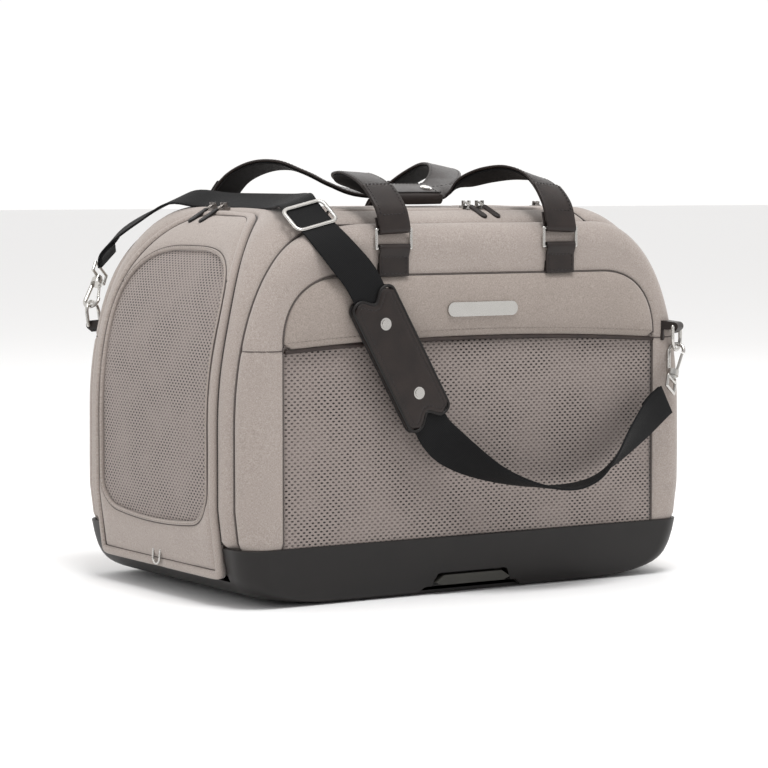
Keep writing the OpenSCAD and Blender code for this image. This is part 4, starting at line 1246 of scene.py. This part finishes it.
def shoulder_pad():
    """Leather pad on the strap: two faces, bound edges, stitching."""
    mid = np.array(STRAP_RUN[PAD_STATION][0], float)
    axis = unit(np.array(STRAP_RUN[PAD_STATION + 1][0], float) - np.array(STRAP_RUN[PAD_STATION - 1][0],
                                                                          float))
    upv = -axis
    rot = (Matrix.Rotation(math.atan2(upv[0], upv[2]), 3, "Y")
           @ Matrix.Rotation(math.asin(-upv[1]), 3, "X"))
    m = np.array(rot)
    half_w, half_l, thick, notch = 26.0, 70.0, 8.0, 12.0
    end = [(half_w, half_l - 4), (half_w - 6, half_l), (half_w - 14, half_l), (0, half_l - notch),
           (-half_w + 14, half_l), (-half_w + 6, half_l), (-half_w, half_l - 4)]
    outline = smooth_corners(np.array(end + [(-x, -z) for x, z in end]), 3, 2.4)

    def surf(st, h):
        local = np.column_stack([st[:, 0], -(thick / 2 - 0.6) - np.asarray(h), st[:, 1]])
        return local @ m.T + mid

    def height(d, st):
        return roll(d, 0.6, 5, -2.2) + 0.9 * (1 - np.exp(-d / 9)) - 0.5 * np.exp(-((d - 6) / 0.9) ** 2)
    o = patch("strap_pad_leather", outline, [], surf, height, thick - 1.0, LEATHER, "root", 2.6,
              (8.0, 7.2, 6.6, 6.0, 5.4, 4.6, 3.4, 2.2, 1.2, 0.5, 0.0), False)
    soft("strap_pad")
    stitch_loop("strap_pad_stitch", surf, inset_path(outline, 6.0), 0.55, DARK_THREAD, "root", 2.8, 1.4, 0.4,
                0.0,
                "leather")
    for tag, h in (("face", -0.9), ("rear", -6.2)):
        seam(f"strap_pad_edge_{tag}", surf, inset_path(outline, 0.5), h, 1.5, EDGE_PAINT, "root", 8, True)


# ---------------------------------------------------------------- tray

def tray():
    """Moulded tray: a dished base with a rounded foot, swept ends, dock slots and low sills for the doors."""
    half_l, half_w, wall = HALF_L, 168.5, 3.5
    prof_l = np.array([(84, 0), (62, 1.4), (44, 4), (30, 7.5), (20, 11.5), (12.5, 16.5), (7.5, 23), (3.6, 32),
                       (1, 43), (-1, 57)])
    prof_w = np.array([(17, 0), (13, 1.0), (10.4, 2.8), (8.6, 5.6), (7.6, 9.2), (6.4, 14.2), (5.0, 21),
                       (3.5, 31), (1.6, 44), (0, 57)])

    def plan(dx, dy, r, inset):
        """Rounded rectangle of the tray at one level."""
        return rounded_rectangle(half_l - dx - inset, half_w - dy - inset, r, 13)

    zs = np.array([0.0, 0.5, 1.6, 3.0, 4.6, 6.8, 9.2, 12, 15, 18.5, 22.5, 27, 32, 38, 44, 50, 54.5])

    def smooth_interp(z, table):
        """Monotone smooth profile: average of a few linear reads."""
        return np.mean([np.interp(np.clip(z + o, 0, 57), table[:, 1], table[:, 0])
                        for o in (-1.5, -0.7, 0, 0.7, 1.5)])
    rings = []
    centre = plan(200, 150, 10, 0)
    rings.append(np.column_stack([centre, np.zeros(len(centre))]))
    for z in zs:
        dx, dy = smooth_interp(z, prof_l), smooth_interp(z, prof_w)
        if z == 0:
            dx, dy = 84, 17
        ring = plan(dx, dy, min(26 + 0.22 * dx, 46), 0)
        rings.append(np.column_stack([ring, np.full(len(ring), z)]))
    for inset, z in ((0.0, 56.0), (0.35, 56.7), (1.0, 57.0), (2.2, 57.0), (3.0, 56.7), (3.5, 56.0)):
        ring = plan(-0.9, 0.1, 26 - inset * 0.6, inset)
        rings.append(np.column_stack([ring, np.full(len(ring), z)]))
    for z in zs[::-1]:
        if z < 5:
            continue
        dx, dy = smooth_interp(z - 2.4, prof_l), smooth_interp(z - 2.4, prof_w)
        ring = plan(dx, dy, min(26 + 0.22 * dx, 44) - 3, wall)
        rings.append(np.column_stack([ring, np.full(len(ring), max(z, 3.6))]))
    inner = plan(200, 150, 8, 3)
    rings.append(np.column_stack([inner, np.full(len(inner), 3.6)]))
    ring = np.array(rings)
    faces = lofted(ring, False, True)
    obj = make("tray_shell", ring.reshape(-1, 3), faces, TRAY, "root")
    recalc(obj)
    cutters = []
    for s in (-1, 1):
        cutters.append(prism([(-66, -1), (-55, 7.4), (-52, 8), (52, 8), (55, 7.4), (66, -1)], s, *DOCK_REACH))
        cutters.append(prism([(-47, 6.5), (-46, 10), (-41.5, 19.5), (-38.5, 21), (38.5, 21), (41.5, 19.5),
                              (46, 10), (47, 6.5)],
                             s, *DOCK_REACH))
    for s in (-1, 1):
        cutters.append(box_cutter((s * 262, 0, 54.5), (64, 252, 62)))
    cut(obj, cutters)
    # housings behind the dock slots
    for tag, s in (("front", -1), ("back", 1)):
        t = prism([(-69, 3.4), (-56, 11.4), (-50, 11.6), (-44, 24.5), (44, 24.5), (50, 11.6), (56, 11.4),
                   (69, 3.4)],
                  s, HALF_W - 9.5, HALF_W - 19, f"dock_housing_{tag}")
        c = [prism([(-65, -4), (-54, 7.6), (54, 7.6), (65, -4)], s, *DOCK_REACH),
             prism([(-47, 5), (-41, 21), (41, 21), (47, 5)], s, *DOCK_REACH)]
        cut(t, c)
        t.data.materials.clear()
        t.data.materials.append(TRAY)
        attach(t, "root")
    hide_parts("base_tray")
    return obj


def recalc(obj):
    """Turns all faces outwards."""
    bm = bmesh.new()
    bm.from_mesh(obj.data)
    bmesh.ops.recalc_face_normals(bm, faces=bm.faces)
    bm.to_mesh(obj.data)
    bm.free()


def prism(points, side, y0, y1, name="cutter"):
    """A prism along Y on the front (-1) or back (1), from points in X and Z."""
    n = len(points)
    verts = [(x, side * y0, z) for x, z in points] + [(x, side * y1, z) for x, z in points]
    faces = [tuple(range(n)), tuple(range(2 * n - 1, n - 1, -1))]
    faces += [(k, (k + 1) % n, n + (k + 1) % n, n + k) for k in range(n)]
    mesh = bpy.data.meshes.new(name)
    mesh.from_pydata((np.array(verts, float) * MM).tolist(), [], faces)
    obj = bpy.data.objects.new(name, mesh)
    bpy.context.scene.collection.objects.link(obj)
    recalc(obj)
    return obj


def box_cutter(centre, size):
    c, s = np.array(centre, float), np.array(size, float) / 2
    return prism([(c[0] - s[0], c[2] - s[2]), (c[0] + s[0], c[2] - s[2]), (c[0] + s[0], c[2] + s[2]),
                  (c[0] - s[0], c[2] + s[2])], 1, c[1] - s[1], c[1] + s[1])


def cut(obj, cutters):
    """Cuts solids out of obj for good, and removes them."""
    for c in cutters:
        mod = obj.modifiers.new("cut", "BOOLEAN")
        mod.operation, mod.solver, mod.object = "DIFFERENCE", "EXACT", c
        bpy.context.view_layer.update()
        dg = bpy.context.evaluated_depsgraph_get()
        mesh = bpy.data.meshes.new_from_object(obj.evaluated_get(dg))
        obj.modifiers.clear()
        old = obj.data
        mats = [m for m in old.materials]
        obj.data = mesh
        if mats:
            mesh.materials.clear()
            mesh.materials.append(mats[0])
        bpy.data.meshes.remove(old)
    for c in cutters:
        bpy.data.objects.remove(c)
    obj.data.polygons.foreach_set("use_smooth", [True] * len(obj.data.polygons))
    obj.data.set_sharp_from_angle(angle=math.radians(32))


# ---------------------------------------------------------------- soft simulation

def puff(obj, mat, voxel, pressure, cap, pin=None):
    """Inflates a closed soft solid with a short cloth simulation and applies the result."""
    scene = bpy.context.scene
    mod = obj.modifiers.new("voxels", "REMESH")
    mod.mode, mod.voxel_size = "VOXEL", voxel
    dg = bpy.context.evaluated_depsgraph_get()
    mesh = bpy.data.meshes.new_from_object(obj.evaluated_get(dg))
    obj.modifiers.clear()
    obj.data = mesh
    rest = np.array([v.co for v in mesh.vertices])
    cloth = obj.modifiers.new("cloth", "CLOTH")
    st = cloth.settings
    st.quality, st.mass = 5, 0.4
    st.tension_stiffness = st.compression_stiffness = 25
    st.shear_stiffness, st.bending_stiffness = 12, 2.5
    st.use_pressure, st.uniform_pressure_force = True, pressure
    st.effector_weights.gravity = 0
    cloth.point_cache.frame_start, cloth.point_cache.frame_end = 1, 20
    for f in range(1, 21):
        scene.frame_set(f)
    dg = bpy.context.evaluated_depsgraph_get()
    done = obj.evaluated_get(dg).to_mesh()
    moved = np.array([v.co for v in done.vertices])
    obj.evaluated_get(dg).to_mesh_clear()
    obj.modifiers.clear()
    step = moved - rest
    length = np.linalg.norm(step, axis=1, keepdims=True)
    step *= np.minimum(1, cap / np.maximum(length, 1e-9))
    if pin is not None:
        step *= pin(rest)[:, None]
    mesh.vertices.foreach_set("co", (rest + step).ravel())
    scene.frame_set(1)
    mesh.materials.clear()
    mesh.materials.append(mat)
    sub = obj.modifiers.new("smooth", "SUBSURF")
    sub.levels = sub.render_levels = 1
    dg = bpy.context.evaluated_depsgraph_get()
    final = bpy.data.meshes.new_from_object(obj.evaluated_get(dg))
    obj.modifiers.clear()
    obj.data = final
    final.polygons.foreach_set("use_smooth", [True] * len(final.polygons))
    return obj


def cushion():
    """Floor cushion: a crowned pad with a piped edge and tufted channels."""
    low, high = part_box("floor_cushion")
    half_x, half_y = (high.x - low.x) / 2 / MM, (high.y - low.y) / 2 / MM
    z0, z1 = low.z / MM, high.z / MM
    outline = rounded_rectangle(half_x, half_y, 26.0, 8)
    rings = []
    for inset, z in ((40, z0 + 0.4), (10, z0 + 0.5), (5, z0 + 3), (3.5, z0 + 9), (5, z0 + 15), (10, z0 + 20),
                     (40, z0 + 21)):
        scale = np.array([(half_x - inset) / half_x, (half_y - inset) / half_y])
        rings.append(np.column_stack([outline * scale, np.full(len(outline), z)]))
    ring = np.array(rings)
    obj = make("cushion", ring.reshape(-1, 3), lofted(ring), CUSHION, "root")
    recalc(obj)
    obj.parent = None
    puff(obj, CUSHION, 0.006, 4.0, 0.006, lambda p: np.clip((p[:, 2] / MM - z0) / 6, 0, 1))
    co = np.array([v.co for v in obj.data.vertices]) / MM
    top = np.clip((co[:, 2] - z0 - 14) / 5, 0, 1)
    for x in (-110.0, 0.0, 110.0):
        co[:, 2] -= 3.0 * top * np.exp(-((co[:, 0] - x) / 5) ** 2) * np.clip((half_y - 20 - np.abs(co[:,
                                                                                                      1])) / 10, 0, 1)
    co[:, 2] = np.clip(co[:, 2], z0 + 0.1, z1)
    obj.data.vertices.foreach_set("co", (co * MM).ravel())
    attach(obj, "root")
    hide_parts("floor_cushion")
    edge = resample(outline * [(half_x - 3) / half_x, (half_y - 3) / half_y], 5, True)
    tube("cushion_piping", np.column_stack([edge, np.full(len(edge), z0 + 10)]), 2.0, SEAM_SHADOW_AND_PIPING, "root", 8, True)


# ---------------------------------------------------------------- zip pulls

def zip_pull(node, body, length, leather_tab):
    """A wire link and a tab, along the CAD pull's own length."""
    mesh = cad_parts[node].data
    co = np.array([v.co for v in mesh.vertices]) / MM
    centre = co.mean(0)
    # the tab's axis is the direction in which the pull is longest
    axis = np.linalg.svd(co - centre)[2][0]
    slider = np.array([v.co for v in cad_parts[node.replace("pull",
                                                                 "slider")].data.vertices]).mean(0) / MM
    if np.dot(axis, centre - slider) < 0:
        axis = -axis
    t = (co - centre) @ axis
    pin_axis = unit(np.cross([0, 0, 1.0], axis))
    normal = unit(np.cross(axis, pin_axis))
    if normal[2] < 0:
        normal, pin_axis = -normal, -pin_axis
    start = centre + axis * (t.min() + 0.8)
    full = t.max() - t.min() - 0.8
    link = []
    for a in np.radians(np.arange(0, 360, 20)):
        link.append(start + axis * (4.6 - 4.6 * math.cos(a)) + pin_axis * 1.5 * math.sin(a))
    o = tube(f"{node}_link", link, 0.8, NICKEL if leather_tab else GUNMETAL, body, 8, True)
    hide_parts(node)
    pin = [start + pin_axis * x for x in (-4.4, -1.5, 1.5, 4.4)]
    tube(f"{node}_pin", pin, 0.85, GUNMETAL, body, 10, False)
    base = start + axis * 7.6
    half, long = 4.1, full - 7.6
    outline = [(0.5, -1.8), (3, -2.8), (long - 5, -half), (long - 1.6, -half * 0.72), (long, 0),
               (long - 1.6, half * 0.72), (long - 5, half), (3, 2.8), (0.5, 1.8)]
    outline = smooth_corners(np.array(outline), 2, 1.2)

    def surf(st, h):
        return base + st[:, :1] * axis + st[:, 1:2] * pin_axis + np.asarray(h)[:, None] * normal
    patch(f"{node}_tab", outline, [], surf, lambda d, st: 1.3 - rounded(d, 1.0), 1.3,
          LEATHER if leather_tab else EDGE_PAINT,
          body, 1.2, (1.0, 0.6, 0.3, 0.1, 0.0), False)
    path = inset_path(outline, 1.1)
    pts, nrm = drawn(surf, looped(path), 1.3)
    stitches(f"{node}_stitch", pts, nrm, DARK_THREAD, body, 1.6, 0.9, 0.22, 0.0, "pull_cord")


# ---------------------------------------------------------------- build

for end_side in ("left", "right"):
    end_parts(end_side)
top_parts()
for is_back in (False, True):
    face_panel(is_back)
    face_soft(is_back)
handle("front", FRONT_RUN, -1)
handle("back", BACK_RUN, 1)
handle_tab("front", -1)
handle_tab("back", 1)
grip_wrap()
shoulder_strap()
strap_frame()
shoulder_pad()
tray()
cushion()
for place in ("left", "right", "top"):
    for letter in "ab":
        zip_pull(f"{place}_pull_{letter}", f"pull_{place}_{letter}", 34, place == "top")

CAD_MATERIALS = {
    "tray_ribs": TRAY, "dock_bars": DOCK, "floor_board": BOARD, "arch_hoops": HOOP, "handle_snap": NICKEL,
    "badge_plate": NICKEL, "pad_rivets": NICKEL}
for face in ("front", "back"):
    CAD_MATERIALS[f"{face}_ring_tab"] = LEATHER
    for metal in ("handle_rings", "d_ring", "snap_hook", "hook_gate", "swivel"):
        CAD_MATERIALS[f"{face}_{metal}"] = NICKEL
for place in ("left", "right", "top"):
    if place != "top":
        CAD_MATERIALS[f"{place}_door_loop"] = NICKEL
    for letter in "ab":
        CAD_MATERIALS[f"{place}_slider_{letter}"] = NICKEL if place == "top" else GUNMETAL
for node, material in CAD_MATERIALS.items():
    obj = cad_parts[node]
    obj.data.materials.clear()
    obj.data.materials.append(material)
    obj.data.polygons.foreach_set("use_smooth", [True] * len(obj.data.polygons))
    obj.data.set_sharp_from_angle(angle=math.radians(35))

# ---------------------------------------------------------------- floor, light, camera

floor = bpy.data.meshes.new("floor")
floor.from_pydata([(-30, -30, 0), (30, -30, 0), (30, 30, 0), (-30, 30, 0)], [], [(0, 1, 2, 3)])
floor_mat = Mat("floor", Roughness=0.9)
floor_mat.b.inputs["Base Color"].default_value = (0.95, 0.95, 0.95, 1)
floor.materials.append(floor_mat.m)
floor_obj = bpy.data.objects.new("floor", floor)
floor_obj.location.z = -0.0005
bpy.context.scene.collection.objects.link(floor_obj)

scene = bpy.context.scene
scene.view_settings.view_transform = "Standard"
world = bpy.data.worlds.new("studio")
scene.world = world
world.use_nodes = True
sky = world.node_tree
background = sky.nodes["Background"]
background.inputs["Strength"].default_value = 1.0
direction = sky.nodes.new("ShaderNodeTexCoord")
axes = sky.nodes.new("ShaderNodeVectorMath")
axes.operation = "DOT_PRODUCT"
axes.inputs[1].default_value = (0.54, 0.84, 0.0)
shade = sky.nodes.new("ShaderNodeValToRGB")
shade.color_ramp.elements[0].position, shade.color_ramp.elements[0].color = 0.0, (0.34, 0.34, 0.35, 1)
shade.color_ramp.elements[1].position, shade.color_ramp.elements[1].color = 0.5, (1.03, 1.02, 1.01, 1)
shift = sky.nodes.new("ShaderNodeMapRange")
shift.inputs["From Min"].default_value, shift.inputs["From Max"].default_value = -1.0, 1.0
sky.links.new(direction.outputs["Generated"], axes.inputs[0])
sky.links.new(axes.outputs["Value"], shift.inputs["Value"])
sky.links.new(shift.outputs[0], shade.inputs["Fac"])
sky.links.new(shade.outputs["Color"], background.inputs["Color"])


def lamp(name, place, target, size, power):
    data = bpy.data.lights.new(name, "AREA")
    data.shape, data.size, data.energy = "DISK", size, power
    obj = bpy.data.objects.new(name, data)
    obj.location = place
    obj.rotation_euler = (Vector(target) - Vector(place)).to_track_quat("-Z", "Y").to_euler()
    scene.collection.objects.link(obj)


lamp("key", (-0.3, -1.3, 3.7), (0, 0, 0.2), 1.4, 82)
lamp("left_fill", (-3.0, 0.2, 1.4), (0, 0, 0.2), 1.8, 8)
lamp("rim", (1.8, 2.0, 2.2), (0, 0, 0.25), 1.6, 9)

yaw, pitch, distance = math.radians(32.5), math.radians(4.15), 2.932
forward = Vector((math.sin(yaw) * math.cos(pitch), math.cos(yaw) * math.cos(pitch), -math.sin(pitch)))
rightward = Vector((math.cos(yaw), -math.sin(yaw), 0))
upward = rightward.cross(forward)
camera = bpy.data.cameras.new("camera")
camera.lens, camera.sensor_width = 133.59375, 36
camera.clip_start, camera.clip_end = 0.05, 100
camera_obj = bpy.data.objects.new("camera", camera)
camera_obj.location = Vector((0, 0, 0.2)) + rightward * 0.0003 - upward * 0.0053 - forward * distance
camera_obj.rotation_mode = "QUATERNION"
camera_obj.rotation_quaternion = forward.to_track_quat("-Z", "Y")
scene.collection.objects.link(camera_obj)
scene.camera = camera_obj
